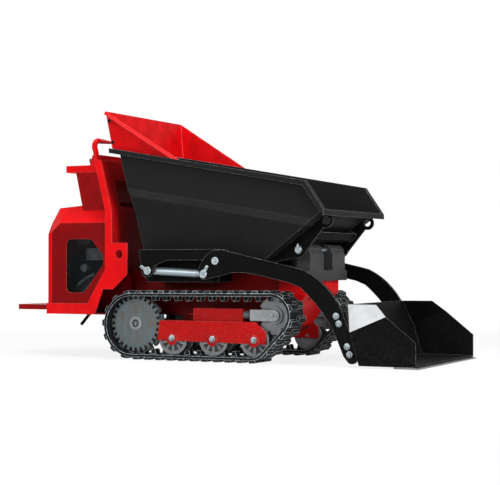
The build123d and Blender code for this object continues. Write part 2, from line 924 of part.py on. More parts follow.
slope_top = (skip_lip[0] - skip_lip_depth, skip_lip[1])
skip_profile = [
    (skip_rim_x[0], skip_rim_z[0]), (skip_rim_x[1], skip_rim_z[1]), skip_lip, slope_top, skip_toe,
    skip_sole, skip_heel, skip_knee,
]
rim_slope = (skip_rim_z[1] - skip_rim_z[0]) / (skip_rim_x[1] - skip_rim_x[0])


def skip_solid(wall):
    """Filled form of the skip: its side profile crossed with a section along the sloping rim."""
    profile = skip_profile
    section = [
        (-skip_half, 0.0), (-skip_half, -skip_band_top), (-skip_band_half, -skip_band_bottom),
        (-skip_floor_half, -skip_floor_depth), (skip_floor_half, -skip_floor_depth),
        (skip_band_half, -skip_band_bottom), (skip_half, -skip_band_top), (skip_half, 0.0),
    ]
    if wall:
        through = -3 * rim_height
        profile = inset(profile, [through, through] + [wall] * 6)
        section = inset(section, [wall] * 3 + [-wall] + [wall] * 3 + [through])
    rear = (rim_rear - 200, 0, skip_rim_z[0] + rim_slope * (rim_rear - 200 - skip_rim_x[0]))
    along = Plane(origin=rear, x_dir=(0, 1, 0), z_dir=(1, 0, rim_slope))
    flip = -1.0 if along.y_dir.Z < 0 else 1.0
    face = outline(*[(y * flip, h * flip) for y, h in section])
    return slab(outline(*profile), -skip_half, skip_half) & extrude(along * face, amount=2000.0)


def rim_top(x):
    """Height of the rim's upper face."""
    return rim_rear_top + (skip_rim_z[1] - rim_rear_top) * (x - rim_rear) / (skip_rim_x[1] - rim_rear)


def make_skip():
    shell = skip_solid(0.0) - skip_solid(skip_wall)
    front = skip_rim_x[1]
    rim = outline((rim_rear, rim_top(rim_rear)), (front, rim_top(front)),
                  (front - 5, rim_top(front) - rim_height), (rim_rear, rim_top(rim_rear) - rim_height))
    ring = slab(rim, -rim_half, rim_half)
    keep = box(skip_rim_x[0] - skip_wall, front + rim_height, -skip_half + skip_wall,
               skip_half - skip_wall, 0, 2000)
    ring -= keep
    lip_x, lip_z = skip_lip
    length = hypot(lip_x - front, skip_rim_z[1] - lip_z)
    nx, nz = -(skip_rim_z[1] - lip_z) / length, -(lip_x - front) / length
    edge = outline((front, rim_top(front)), (lip_x, lip_z),
                   (lip_x + nx * rim_front_width, lip_z + nz * rim_front_width),
                   (front + nx * rim_front_width, rim_top(front) + nz * rim_front_width))
    for side in (right, left):
        low, high = sorted((side * (skip_half - skip_wall), side * rim_half))
        ring += slab(edge, low, high)
    lip = box(lip_x - skip_wall, lip_x, -rim_half, rim_half, lip_z - lip_height, lip_z)
    lip += box(slope_top[0], lip_x, -rim_half, rim_half, lip_z - skip_wall, lip_z)
    lip -= skip_solid(skip_wall)
    return shell + ring + lip


def make_pads():
    """Rubber rests on the tub's top edge under the rear of the skip."""
    pads = []
    for side in (right, left):
        y = side * (chassis_half - chassis_wall / 2)
        pads.append(box(pad_place - pad_radius, pad_place + pad_radius, y - chassis_wall, y + chassis_wall,
                        chassis_top, skip_heel[1] - seat_gap))
    return pads


def slope_z(x):
    """Underside of the skip's sloping front plate."""
    (x0, z0), (x1, z1) = skip_toe, slope_top
    return z0 + (z1 - z0) * (x - x0) / (x1 - x0)


def under_outline():
    """Diagonal plate from the lifting eye back to the sole, its top edge inside the skip for a later cut."""
    sole_x, sole_z = skip_sole
    toe_x, toe_z = skip_toe
    start = eye_x - eye_ring
    return outline(
        (under_rear, sole_z + trim_reach), (under_rear, sole_z - under_toe),
        (sole_x + under_toe, sole_z - under_toe),
        (skip_hinge_x - 130, skip_hinge_z - under_boss_radius - 22.0),
        (skip_hinge_x - 30, skip_hinge_z - under_boss_radius - 2.0),
        ((skip_hinge_x + 4, skip_hinge_z - under_boss_radius),
         (skip_hinge_x + under_boss_radius, skip_hinge_z - 6)),
        (eye_x - 14, eye_z - eye_ring),
        ((eye_x + eye_ring, eye_z), (eye_x - 4, eye_z + eye_ring)),
        (start, slope_z(start) + trim_reach), (toe_x, toe_z + trim_reach), (sole_x, sole_z + trim_reach))


def make_underframe():
    """Two diagonal plates with lifting eyes, and the folded gusset between them."""
    solids = None
    for side in (right, left):
        low = side * under_offset - under_plate / 2
        face = under_outline() - Pos(eye_x, eye_z) * Circle(eye_hole)
        face -= Pos(skip_hinge_x, skip_hinge_z) * Circle(skip_pin_radius + pin_gap)
        piece = slab(face, low, low + under_plate)
        solids = piece if solids is None else solids + piece
    fold = [
        (1000.0, slope_z(1000.0) + trim_reach), (1052.0, 700.0), (1034.0, 664.0), (1006.0, 652.0),
        (1004.0, 652.0 + gusset_thickness), (1030.0, 668.0), (1046.0, 700.0),
        (993.0, slope_z(993.0) + trim_reach),
    ]
    solids += slab(outline(*fold), -under_offset, under_offset)
    lug = outline((ram_eye_x - 40, skip_sole[1]), (ram_eye_x - ram_eye_radius, ram_eye_z),
                  ((ram_eye_x, ram_eye_z - ram_eye_radius), (ram_eye_x + ram_eye_radius, ram_eye_z)),
                  (skip_sole[0], skip_sole[1]))
    lugs = []
    for side in (right, left):
        inner = ram_eye_half + side_gap
        low, high = sorted((side * inner, side * (inner + ram_lug)))
        lugs.append(slab(lug, low, high))
    return [solids - skip_solid(0.0)] + lugs


def make_hinge_pin():
    reach = under_offset + under_plate / 2 + 8.0
    pin = disc(skip_hinge_x, skip_hinge_z, skip_pin_radius, -reach, reach)
    for side in (right, left):
        low, high = sorted((side * (reach - 8.0 + seat_gap), side * reach))
        pin += disc(skip_hinge_x, skip_hinge_z, skip_pin_radius + 6.0, low, high)
    return pin


ram_run = Vector(ram_eye_x - ram_foot_x, 0, ram_eye_z - ram_foot_z)


def along_ram(distance):
    place = Vector(ram_foot_x, 0, ram_foot_z) + ram_run.normalized() * distance
    return place.X, place.Y, place.Z


def make_ram_barrel():
    tube_end = ram_run.length - ram_eye_radius - 16.0
    tube = rod(along_ram(ram_neck), along_ram(tube_end), ram_tube_radius)
    tube += rod(along_ram(ram_pin_radius), along_ram(ram_neck + 1), ram_eye_half)
    bore = rod(along_ram(ram_neck + 8.0), along_ram(tube_end + 1), ram_rod_radius + pin_gap)
    eye = disc(ram_foot_x, ram_foot_z, ram_eye_radius, -ram_eye_half, ram_eye_half)
    pin = disc(ram_foot_x, ram_foot_z, ram_pin_radius, -ram_eye_half - side_gap - ram_lug,
               ram_eye_half + side_gap + ram_lug)
    return tube + eye + pin - bore


def make_ram_rod():
    stem = rod(along_ram(ram_neck + 10.0), along_ram(ram_run.length - 4.0), ram_rod_radius)
    return stem + disc(ram_eye_x, ram_eye_z, ram_eye_radius, -ram_eye_half, ram_eye_half)


def lean_cut(solid, corners, wall):
    """Cut both sides of a solid with a leaning plane, given by three corners of its right side."""
    a, b, c = (Vector(*corner) for corner in corners)
    normal = (b - a).cross(c - a).normalized()
    if normal.Y > 0:
        normal = normal * -1
    plane = Plane(origin=a, z_dir=normal).offset(-wall)
    solid = split(solid, bisect_by=plane, keep=Keep.BOTTOM)
    other = Plane(origin=(a.X, -a.Y, a.Z), z_dir=(normal.X, -normal.Y, normal.Z))
    return split(solid, bisect_by=other.offset(-wall), keep=Keep.BOTTOM)


guard_foot_x = rim_rear + 16.0


def guard_solid(wall):
    """Filled form of the spill guard between its leaning wings."""
    profile = [
        (guard_foot_x, rim_top(guard_foot_x)), (guard_top_x, guard_top_z),
        (guard_nose_x, rim_top(guard_nose_x)),
    ]
    if wall:
        profile = inset(profile, [wall, -guard_fold, -guard_fold])
    solid = slab(outline(*profile), -guard_top_half - 1, guard_top_half + 1)
    corners = (
        (guard_foot_x, -guard_foot_half, rim_top(guard_foot_x)),
        (guard_top_x, -guard_top_half, guard_top_z),
        (guard_nose_x, -guard_foot_half, rim_top(guard_nose_x)),
    )
    return lean_cut(solid, corners, wall)


def make_guard():
    """Three-sided spill guard: rear wall, two sloping wings and their folded edges."""
    shell = guard_solid(0.0) - guard_solid(guard_sheet)
    for side in (right, left):
        root = Vector(0, -side * guard_sheet / 2, 0)
        top = Vector(guard_top_x, side * guard_top_half, guard_top_z) + root
        nose = Vector(guard_nose_x, side * guard_foot_half, rim_top(guard_nose_x)) + root
        fold = Vector(0, side * guard_fold, -guard_fold_drop)
        order = (top, top + fold, nose + fold, nose)
        shell += sheet(order if side == right else order[::-1], guard_sheet)
    ring = slab(outline((rim_rear, rim_top(rim_rear)), (guard_nose_x + 40, rim_top(guard_nose_x + 40)),
                        (guard_nose_x + 40, rim_top(guard_nose_x + 40) - 60),
                        (rim_rear, rim_top(rim_rear) - 60)), -2 * rim_half, 2 * rim_half)
    return shell - ring


def make_bracket():
    """Loader bracket: outer and inner plates, a top flange and two outriggers to the tub."""
    lobe = 34.0
    outer = outline(
        (bracket_rear, bracket_top), (bracket_rear + 14, cylinder_rear_z),
        ((cylinder_rear_x, cylinder_rear_z - lobe), (cylinder_rear_x + lobe, cylinder_rear_z)),
        (cylinder_rear_x + lobe + 6, 516.0), (231.0, bracket_cut_z), (470.0, bracket_cut_z),
        (arm_pivot_x - 40, arm_pivot_z - 39),
        ((arm_pivot_x, arm_pivot_z - bracket_boss_radius),
         (arm_pivot_x + bracket_boss_radius, arm_pivot_z)),
        (arm_pivot_x + 40, bracket_top - 16), (arm_pivot_x + 24, bracket_top))
    low = -bracket_outer
    body = slab(outer, low, low + bracket_plate)
    inner = outline(
        (bracket_rear, bracket_top), (bracket_rear, outrigger_bottom + outrigger_height / 2),
        (bracket_rear + 14, outrigger_bottom), (arm_pivot_x - 30, outrigger_bottom),
        (arm_pivot_x + 24, bracket_top - 60), (arm_pivot_x + 24, bracket_top))
    body += slab(inner, -bracket_inner - bracket_inner_plate, -bracket_inner)
    body += box(bracket_rear, arm_pivot_x + 24, low, -bracket_inner, bracket_top - bracket_flange,
                bracket_top)
    for x in outrigger_places:
        body += box(x, x + outrigger_width, -bracket_inner - 1, -chassis_half, outrigger_bottom,
                    outrigger_bottom + outrigger_height)
    body += disc(arm_pivot_x, arm_pivot_z, arm_pin_radius + 12, -bracket_outer, -bracket_outer + 24)
    body -= disc(arm_pivot_x, arm_pivot_z, arm_pin_radius + pin_gap, -bracket_outer - 1,
                 -bracket_outer + 25)
    body -= disc(cylinder_rear_x, cylinder_rear_z, cylinder_pin_radius + pin_gap, -bracket_outer - 1,
                 -bracket_inner + 1)
    return body


def pin_with_head(x, z, radius, y_low, y_high):
    """Pin whose head lies outside the right-hand plate."""
    pin = disc(x, z, radius, y_low, y_high)
    return pin + disc(x, z, pin_head_radius, y_low - pin_head_height, y_low)


def make_chassis_pins():
    pins = []
    outer = -arm_inner - arm_thickness - seat_gap
    pins.append(pin_with_head(arm_pivot_x, arm_pivot_z, arm_pin_radius, outer, -bracket_outer + 24))
    pins.append(pin_with_head(cylinder_rear_x, cylinder_rear_z, cylinder_pin_radius,
                              -bracket_outer - seat_gap, -bracket_inner))
    return pins + [mirrored(pin) for pin in pins]


def arm_outline():
    """Swan-neck arm plate from the lever lobe over the pivot down to the bucket."""
    return outline(
        (lever_x + 12, lever_z - 28),
        ((lever_x - 22, lever_z - 20), (lever_x - arm_lobe_radius, lever_z + 6)),
        ((468.0, 556.0), (530.0, 602.0)), (574.0, 606.0), (983.0, 516.0), (1057.0, 498.0),
        ((1172.0, 423.0), (1282.0, 268.0)), (back_x(156.0) - arm_gap, 156.0),
        (back_x(46.0) - arm_gap, 46.0), ((1342.0, 20.0), (1308.0, 24.0)), (1282.0, 56.0), (1226.0, 190.0),
        ((1146.0, 302.0), (1040.0, 407.0)), (983.0, 430.0), (809.0, 468.0), (721.0, 483.0),
        (643.0, 483.0), (560.0, 462.0))


def make_arm():
    face = arm_outline() - Pos(arm_pivot_x, arm_pivot_z) * Circle(arm_pin_radius + pin_gap)
    face -= Pos(lever_x, lever_z) * Circle(lever_pin_radius + pin_gap)
    return slab(face, -arm_inner - arm_thickness, -arm_inner)


def make_lever_pins():
    """Pins on the arms' levers. Each ends at the face of its rod's eye."""
    outer = -arm_inner - arm_thickness - seat_gap
    pin = pin_with_head(lever_x, lever_z, lever_pin_radius, outer,
                        -cylinder_centre - cylinder_eye_half - side_gap)
    return [pin, mirrored(pin)]


cylinder_run = Vector(lever_x - cylinder_rear_x, 0, lever_z - cylinder_rear_z)


def along_cylinder(distance):
    start = Vector(cylinder_rear_x, -cylinder_centre, cylinder_rear_z)
    place = start + cylinder_run.normalized() * distance
    return place.X, place.Y, place.Z


def make_barrel():
    tube_end = cylinder_tube_rear + cylinder_tube_length
    tube = rod(along_cylinder(cylinder_tube_rear - 8), along_cylinder(tube_end), cylinder_radius)
    gland = rod(along_cylinder(tube_end), along_cylinder(tube_end + cylinder_gland),
                cylinder_radius - 3)
    bore = rod(along_cylinder(cylinder_tube_rear + 12), along_cylinder(tube_end + cylinder_gland + 1),
               cylinder_rod_radius + pin_gap)
    eye = disc(cylinder_rear_x, cylinder_rear_z, cylinder_eye_radius,
               -cylinder_centre - cylinder_eye_half, -cylinder_centre + cylinder_eye_half)
    hole = disc(cylinder_rear_x, cylinder_rear_z, cylinder_pin_radius + pin_gap,
                -cylinder_centre - cylinder_radius, -cylinder_centre + cylinder_radius)
    return tube + gland + eye - bore - hole


def make_cylinder_rod():
    stem = rod(along_cylinder(cylinder_tube_rear + 16), along_cylinder(cylinder_run.length - 4),
               cylinder_rod_radius)
    eye = disc(lever_x, lever_z, cylinder_eye_radius, -cylinder_centre - cylinder_eye_half,
               -cylinder_centre + cylinder_eye_half)
    return stem + eye


bucket_profile = [
    (bucket_floor_rear, bucket_floor_z), (bucket_front, bucket_floor_z), (bucket_front, bucket_side_z),
    (bucket_bend_x, bucket_bend_z), (bucket_top_front, bucket_top), (bucket_top_rear, bucket_top),
]


def back_x(z):
    """Rear face of the leaning back plate."""
    share = (z - bucket_floor_z) / (bucket_top - bucket_floor_z)
    return bucket_floor_rear + (bucket_top_rear - bucket_floor_rear) * share


def bucket_solid(wall):
    """Filled form of the bucket, its upper corners cut by the planes of the folded sides."""
    profile = bucket_profile
    if wall:
        reach = -60.0
        profile = inset(profile, [bucket_floor_plate, reach, reach, reach, reach, wall])
    half = bucket_half - wall
    solid = slab(outline(*profile), -half, half)
    corners = (
        (back_x(bucket_fold_z), -bucket_half, bucket_fold_z),
        (bucket_bend_x, -bucket_half, bucket_bend_z), (bucket_top_rear, -bucket_top_half, bucket_top),
    )
    return lean_cut(solid, corners, wall)


def make_bucket():
    return bucket_solid(0.0) - bucket_solid(bucket_wall)


def make_cutting_edge():
    """Bevelled wear plate under the front of the bucket's floor."""
    face = outline((edge_rear, edge_bottom), (edge_front, edge_bottom),
                   (edge_front, edge_bottom + 4), (edge_front - edge_bevel, bucket_floor_z),
                   (edge_rear, bucket_floor_z))
    return slab(face, -bucket_half, bucket_half)


def make_bucket_mount():
    """Cross tube behind the bucket with the ears that the arms bolt to."""
    z_low, z_high = mount_tube_z - mount_tube / 2, mount_tube_z + mount_tube / 2
    low, high = arm_inner - side_gap - ear_thickness, arm_inner - side_gap
    tube = outline((back_x(z_low) - mount_tube, z_low), (back_x(z_low), z_low),
                   (back_x(z_high), z_high), (back_x(z_high) - mount_tube, z_high))
    body = slab(tube, -high, high)
    ear = outline((back_x(z_high) - mount_tube, z_high), (back_x(285.0) - 42, 285.0),
                  (back_x(285.0), 285.0), (back_x(40.0), 40.0), (1300.0, 34.0), (1246.0, 200.0),
                  (1222.0, 240.0))
    for side in (right, left):
        near, far = sorted((side * low, side * high))
        body += slab(ear, near, far)
    return body


add_pair("track", make_track())
add_pair("sprocket", make_sprocket())
add_pair("drive_motor", make_motor())
add_pair("rollers", *[make_roller(x) for x in roller_places])
add_pair("track_frame", make_track_frame())
add_pair("idler", make_idler())
add_pair("tensioner", make_tensioner())
add("chassis_frame", make_chassis())
add_pair("side_frame", make_side_frame())
add("hood", make_hood())
add_pair("hood_grille", make_grille())
add("engine_block", make_engine())
add("bulkhead", make_bulkhead())
add("console_column", make_column())
add("console_tray", make_tray())
add("lever_guard", make_tower())
add("control_levers", *make_levers())
add("grab_handle", make_handle())
add("footplate", make_footplate())
add("drain_tube", make_drain())
add("pedestal", make_pedestal())
add("skip_rests", *make_pads())
add("skip", make_skip())
add("skip_underframe", *make_underframe())
add("skip_hinge_pin", make_hinge_pin())
add("spill_guard", make_guard())
add("ram_barrel", make_ram_barrel())
add("ram_rod", make_ram_rod())
add_pair("arm_bracket", make_bracket())
add("chassis_pins", *make_chassis_pins())
add_pair("loader_arm", make_arm())
add("lever_pins", *make_lever_pins())
add_pair("cylinder_barrel", make_barrel())
add_pair("cylinder_rod", make_cylinder_rod())
add("bucket", make_bucket())
add("cutting_edge", make_cutting_edge())
add("bucket_mount", make_bucket_mount())

os.makedirs("parts", exist_ok=True)
for name, shape in parts.items():
    export_step(shape, "parts/" + name + ".step")
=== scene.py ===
"""Looks of a compact tracked site dumper with a self-loading shovel.

Lengths are metres in the frame's own axes: X forward to the shovel, Y to the left, Z up from the
ground. Places on the machine are written forward of the sprockets' axle, whose X comes from the frame.
"""

import json
import logging
import math
from collections.abc import Sequence
from dataclasses import dataclass, replace
from enum import Enum
from functools import cached_property

import bmesh
import bpy
import numpy as np
from mathutils import Matrix, Vector

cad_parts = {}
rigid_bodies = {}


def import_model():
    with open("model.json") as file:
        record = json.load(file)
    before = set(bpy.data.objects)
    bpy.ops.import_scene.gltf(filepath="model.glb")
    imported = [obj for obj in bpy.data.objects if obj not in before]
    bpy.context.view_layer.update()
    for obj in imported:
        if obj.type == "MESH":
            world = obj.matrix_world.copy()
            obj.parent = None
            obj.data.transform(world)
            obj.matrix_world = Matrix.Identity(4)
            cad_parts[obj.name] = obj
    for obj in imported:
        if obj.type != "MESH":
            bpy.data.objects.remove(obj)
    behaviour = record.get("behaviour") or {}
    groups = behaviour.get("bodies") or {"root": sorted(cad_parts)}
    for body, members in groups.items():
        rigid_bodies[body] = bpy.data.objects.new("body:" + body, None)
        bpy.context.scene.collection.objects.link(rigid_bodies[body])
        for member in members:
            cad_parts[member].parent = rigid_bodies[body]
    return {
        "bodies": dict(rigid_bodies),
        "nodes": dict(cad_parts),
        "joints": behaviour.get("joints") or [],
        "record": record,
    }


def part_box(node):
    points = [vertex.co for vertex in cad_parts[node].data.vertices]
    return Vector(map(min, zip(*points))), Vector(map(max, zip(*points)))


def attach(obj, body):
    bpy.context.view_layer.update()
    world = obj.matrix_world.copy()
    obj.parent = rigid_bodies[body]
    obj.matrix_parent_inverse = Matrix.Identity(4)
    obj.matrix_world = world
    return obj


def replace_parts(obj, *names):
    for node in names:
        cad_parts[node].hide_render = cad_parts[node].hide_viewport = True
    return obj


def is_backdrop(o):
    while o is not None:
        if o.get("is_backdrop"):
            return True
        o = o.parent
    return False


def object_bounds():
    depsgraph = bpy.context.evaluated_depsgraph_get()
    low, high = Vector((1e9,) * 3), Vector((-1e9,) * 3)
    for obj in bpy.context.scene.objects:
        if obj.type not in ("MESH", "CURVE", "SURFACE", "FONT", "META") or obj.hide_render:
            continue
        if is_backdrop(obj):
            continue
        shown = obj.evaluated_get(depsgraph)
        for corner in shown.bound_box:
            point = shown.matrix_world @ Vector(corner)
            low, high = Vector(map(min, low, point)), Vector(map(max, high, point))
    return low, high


log = logging.getLogger("dumper")
Pair = tuple[float, float]
Triple = tuple[float, float, float]
Outline = Sequence[Pair]
Points = np.ndarray
Socket = bpy.types.NodeSocket

SIDES = {"right": -1.0, "left": 1.0}
WHITE = (1.0, 1.0, 1.0)
# Cube that the planes of a convex solid cut down.
CUBE_SIDE = 6.0
# Axles of the lower rollers, forward of the sprockets' axle and above the ground.
ROLLERS_X = (0.238, 0.489, 0.739)
ROLLERS_Z = 0.121
# Height of the skip's pressed band, which carries painted light, and half of the ramp at its edges.
BAND_WIDTH = 0.043
BAND_RAMP = 0.0005


class Slot(Enum):
    """Material slots of the record that pieces take their finish from."""

    RED = "red_gloss"
    BLACK = "black_texture"
    GREY = "dark_grey"
    ZINC = "zinc"
    CHROME = "chrome_tube"
    RUBBER = "track_rubber"
    STEEL = "raw_steel"
    CAST = "cast_grey"
    MESH = "mesh_black"
    ENGINE = "engine_grey"
    EDGE = "worn_edge"
    PAD = "pad_rubber"
    KNOB = "knob_black"


class Region(Enum):
    """Parts of one node that carry a second colour; on some finishes it is two-tone paint, on others painted
    light or painted shade.
    """

    NONE = "none"
    SIDE_PANEL = "flat side panels"
    # Painted light: faces that lean up and outward get a light colour.
    FOLD = "folds that lean up and outward"
    FRONT_HALF = "everything forward of a plane"
    # Painted light along the skip's band.
    BAND = "a pressed band that follows the rim's slope"


class Wiring:
    """Builds one node tree and hands out its sockets."""

    def __init__(self, owner: bpy.types.Material | bpy.types.World, kind: str = "Material") -> None:
        """Empty the owner's tree and give it the output node of its kind."""
        owner.use_nodes = True
        self.tree = owner.node_tree
        self.tree.nodes.clear()
        self.end = self.node(f"Output{kind}").inputs[0]

    @cached_property
    def place(self) -> Socket:
        """Where a point lies on its object."""
        return self.node("TexCoord").outputs["Object"]

    @cached_property
    def facing(self) -> Socket:
        """Which way the surface faces."""
        return self.node("TexCoord").outputs["Normal"]

    def feed(self, target: Socket, value: Socket | float | Triple) -> None:
        """Link a socket, or write a constant on the target itself."""
        if isinstance(value, bpy.types.NodeSocket):
            self.tree.links.new(value, target)
        elif isinstance(value, tuple) and target.type == "RGBA":
            target.default_value = (*value, 1.0)
        else:
            target.default_value = value

    def node(self, kind: str, values: dict | None = None, **settings: str | int) -> bpy.types.Node:
        """Add a node.

        Args:
            kind: its type, without Blender's prefix.
            values: sockets or constants for its inputs, by name or number.
            settings: its own attributes.

        Returns:
            The node.
        """
        node = self.tree.nodes.new(f"ShaderNode{kind}")
        for name, value in settings.items():
            setattr(node, name, value)
        for key, value in (values or {}).items():
            self.feed(node.inputs[key], value)
        return node

    def noise(self, scale: float, detail: float, stretch: Triple = (1.0, 1.0, 1.0)) -> Socket:
        """Fractal noise from 0 to 1, with scale in blotches per metre and detail in octaves."""
        mapping = self.node("Mapping", {"Vector": self.place, "Scale": stretch})
        return self.node("TexNoise", {"Vector": mapping.outputs[0], "Scale": scale, "Detail": detail,
                                      "Roughness": 0.6}).outputs[0]

    def step(self, value: Socket, low: float, high: float, to: Pair = (0.0, 1.0),
             curve: str = "LINEAR") -> Socket:
        """Carry low..high onto the range to, clamped."""
        names = ("Value", "From Min", "From Max", "To Min", "To Max")
        values = dict(zip(names, (value, low, high, *to)))
        return self.node("MapRange", values, interpolation_type=curve).outputs[0]

    def maths(self, kind: str, first: Socket | float, second: Socket | float = 0.0) -> Socket:
        """One arithmetic step."""
        return self.node("Math", {0: first, 1: second}, operation=kind).outputs[0]

    def mix(self, share: Socket | float, first: Socket | Triple, second: Socket | Triple) -> Socket:
        """Blend two colours."""
        return self.node("Mix", {"Factor": share, 6: first, 7: second}, data_type="RGBA").outputs[2]

    def part(self, vector: Socket, axis: int) -> Socket:
        """One component of a vector."""
        return self.node("SeparateXYZ", {0: vector}).outputs[axis]

    def edges(self, radius: float) -> tuple[Socket, Socket]:
        """Rounded normals at sharp edges, and how far each point is on such an edge.

        Args:
            radius: width of the rounding in metres.

        Returns:
            The rounded normal, and the edge mask from 0 to 1: one less the dot product of the rounded
            and the true normal, spread over its useful range.
        """
        rounded_normal = self.node("Bevel", {"Radius": radius}, samples=6).outputs[0]
        true_normal = self.node("NewGeometry").outputs["Normal"]
        dot = self.node("VectorMath", {0: rounded_normal, 1: true_normal}, operation="DOT_PRODUCT")
        return rounded_normal, self.step(dot.outputs["Value"], 0.995, 0.86)

    def relief(self, height: Socket, depth: float, normal: Socket) -> Socket:
        """Bump of the given depth in metres over a height field."""
        return self.node("Bump", {"Height": height, "Distance": depth, "Strength": 1.0,
                                  "Normal": normal}).outputs[0]

    def seen_directly(self) -> Socket:
        """One for camera, glossy and transmission rays, and nothing for the rest."""
        rays = self.node("LightPath").outputs
        total = rays["Is Camera Ray"]
        for name in ("Is Glossy Ray", "Is Transmission Ray"):
            total = self.maths("MAXIMUM", total, rays[name])
        return total

    def blend(self, share: Socket, first: bpy.types.Node, second: bpy.types.Node) -> None:
        """Show the first shader, and the second as far as share goes."""
        both = {0: share, 1: first.outputs[0], 2: second.outputs[0]}
        self.feed(self.end, self.node("MixShader", both).outputs[0])


@dataclass(frozen=True)
class Finish:
    """One surface finish, mottled, with lighter edges that are partly wear and partly painted highlight, a
    grain and dust near the ground.
    """

    name: str
    colour: Triple
    shade: Triple
    roughness: Pair
    metallic: float = 0.0
    gloss: float = 0.5
    mottle: float = 9.0
    streak: Triple = (1.0, 1.0, 1.0)
    grain: float = 900.0
    grain_depth: float = 0.00012
    edge: Triple = (0.5, 0.5, 0.5)
    edge_share: float = 0.4
    edge_radius: float = 0.0022
    dust: Triple = (0.16, 0.14, 0.12)
    dust_share: float = 0.25
    dust_top: float = 0.35
    region: Region = Region.NONE
    second: Triple = (0.5, 0.5, 0.5)
    second_metallic: float = 0.0
    plane: float = 0.0
    slope: float = 0.0

    def region_mask(self, wiring: Wiring) -> Socket:
        """Where the second colour lies, 0 or 1 with a narrow ramp between."""
        # Painted light: the skip's pressed band.
        if self.region is Region.BAND:
            slope = wiring.maths("MULTIPLY", wiring.part(wiring.place, 0), self.slope)
            height = wiring.maths("ADD", wiring.part(wiring.place, 2), slope)
            bottom = self.plane - BAND_WIDTH
            return wiring.maths("MULTIPLY", wiring.step(height, bottom - BAND_RAMP, bottom + BAND_RAMP),
                                wiring.step(height, self.plane + BAND_RAMP, self.plane - BAND_RAMP))
        if self.region is Region.SIDE_PANEL:
            across = wiring.maths("ABSOLUTE", wiring.part(wiring.facing, 1))
            return wiring.step(across, 0.97, 0.985)
        # Painted light on faces that lean up and outward.
        if self.region is Region.FOLD:
            up = wiring.step(wiring.part(wiring.facing, 2), 0.2, 0.3)
            out = wiring.maths("MULTIPLY", wiring.part(wiring.facing, 1), wiring.part(wiring.place, 1))
            return wiring.maths("MULTIPLY", up, wiring.step(out, 0.02, 0.06))
        return wiring.step(wiring.part(wiring.place, 0), self.plane - 0.001, self.plane + 0.001)

    def material(self) -> bpy.types.Material:
        """The finished material, its node tree built."""
        material = bpy.data.materials.new(self.name)
        wiring = Wiring(material)
        mottle = wiring.noise(self.mottle, 6.0, self.streak)
        fine = wiring.noise(self.grain, 3.0)
        speckle = wiring.noise(70.0, 8.0)
        colour = wiring.mix(wiring.step(mottle, 0.36, 0.66), self.colour, self.shade)
        metallic: Socket | float = self.metallic
        if self.region is not Region.NONE:
            mask = self.region_mask(wiring)
            second = wiring.mix(wiring.step(mottle, 0.3, 0.7), self.second,
                                tuple(0.72 * value for value in self.second))
            colour = wiring.mix(mask, colour, second)
            if self.second_metallic != self.metallic:
                metallic = wiring.step(mask, 0.0, 1.0, (self.metallic, self.second_metallic))
        normal, edge = wiring.edges(self.edge_radius)
        # Edge mask broken by speckle; the lighter edge colour it mixes in is partly wear and partly painted
        # highlight along the edges.
        worn = wiring.maths("MULTIPLY", edge, wiring.step(speckle, 0.38, 0.62, (0.25, 1.0)))
        colour = wiring.mix(wiring.maths("MULTIPLY", worn, self.edge_share), colour, self.edge)
        low = wiring.step(wiring.part(wiring.place, 2), self.dust_top, 0.0)
        dusty = wiring.maths("MULTIPLY", low, wiring.step(speckle, 0.42, 0.75))
        colour = wiring.mix(wiring.maths("MULTIPLY", dusty, self.dust_share), colour, self.dust)
        blotches = wiring.maths("ADD", mottle, wiring.maths("MULTIPLY", speckle, 0.5))
        shader = wiring.node("BsdfPrincipled", {
            "Base Color": colour, "Metallic": metallic, "Specular IOR Level": self.gloss,
            "Roughness": wiring.step(blotches, 0.45, 1.0, self.roughness),
            "Normal": wiring.relief(fine, self.grain_depth, normal)})
        wiring.feed(wiring.end, shader.outputs[0])
        return material


RED = (0.66, 0.0032, 0.005)
# Pinkish light red on the edges: partly worn paint, partly painted highlight.
WEAR_AND_HIGHLIGHT_RED = (0.95, 0.42, 0.40)

RED_PAINT = Finish("red gloss paint", RED, (0.52, 0.0024, 0.004), (0.3, 0.45), gloss=0.06, grain=420.0,
                   grain_depth=0.00006, edge=WEAR_AND_HIGHLIGHT_RED, edge_share=0.55)
HOOD_PAINT = replace(RED_PAINT, name="red hood paint", edge_share=0.45, region=Region.SIDE_PANEL,
                     second=(0.20, 0.0016, 0.0022))
FRAME_PAINT = replace(RED_PAINT, name="red frame paint", colour=(0.42, 0.0022, 0.003),
                      shade=(0.33, 0.0018, 0.0025), roughness=(0.32, 0.5), edge_share=0.5)
GUARD_PAINT = replace(RED_PAINT, name="red guard paint", colour=(0.60, 0.003, 0.0045),
                      shade=(0.44, 0.0022, 0.0034), roughness=(0.35, 0.5), gloss=0.05, mottle=14.0,
                      edge_share=0.7)
# A darker red than the red paint, on the console column and the footplate.
DARKER_RED_PANELS = replace(RED_PAINT, name="darker red of column and footplate", colour=(0.27, 0.0018, 0.0024),
                      shade=(0.2, 0.0014, 0.002), roughness=(0.35, 0.5), edge=(0.7, 0.12, 0.12),
                      edge_share=0.45)
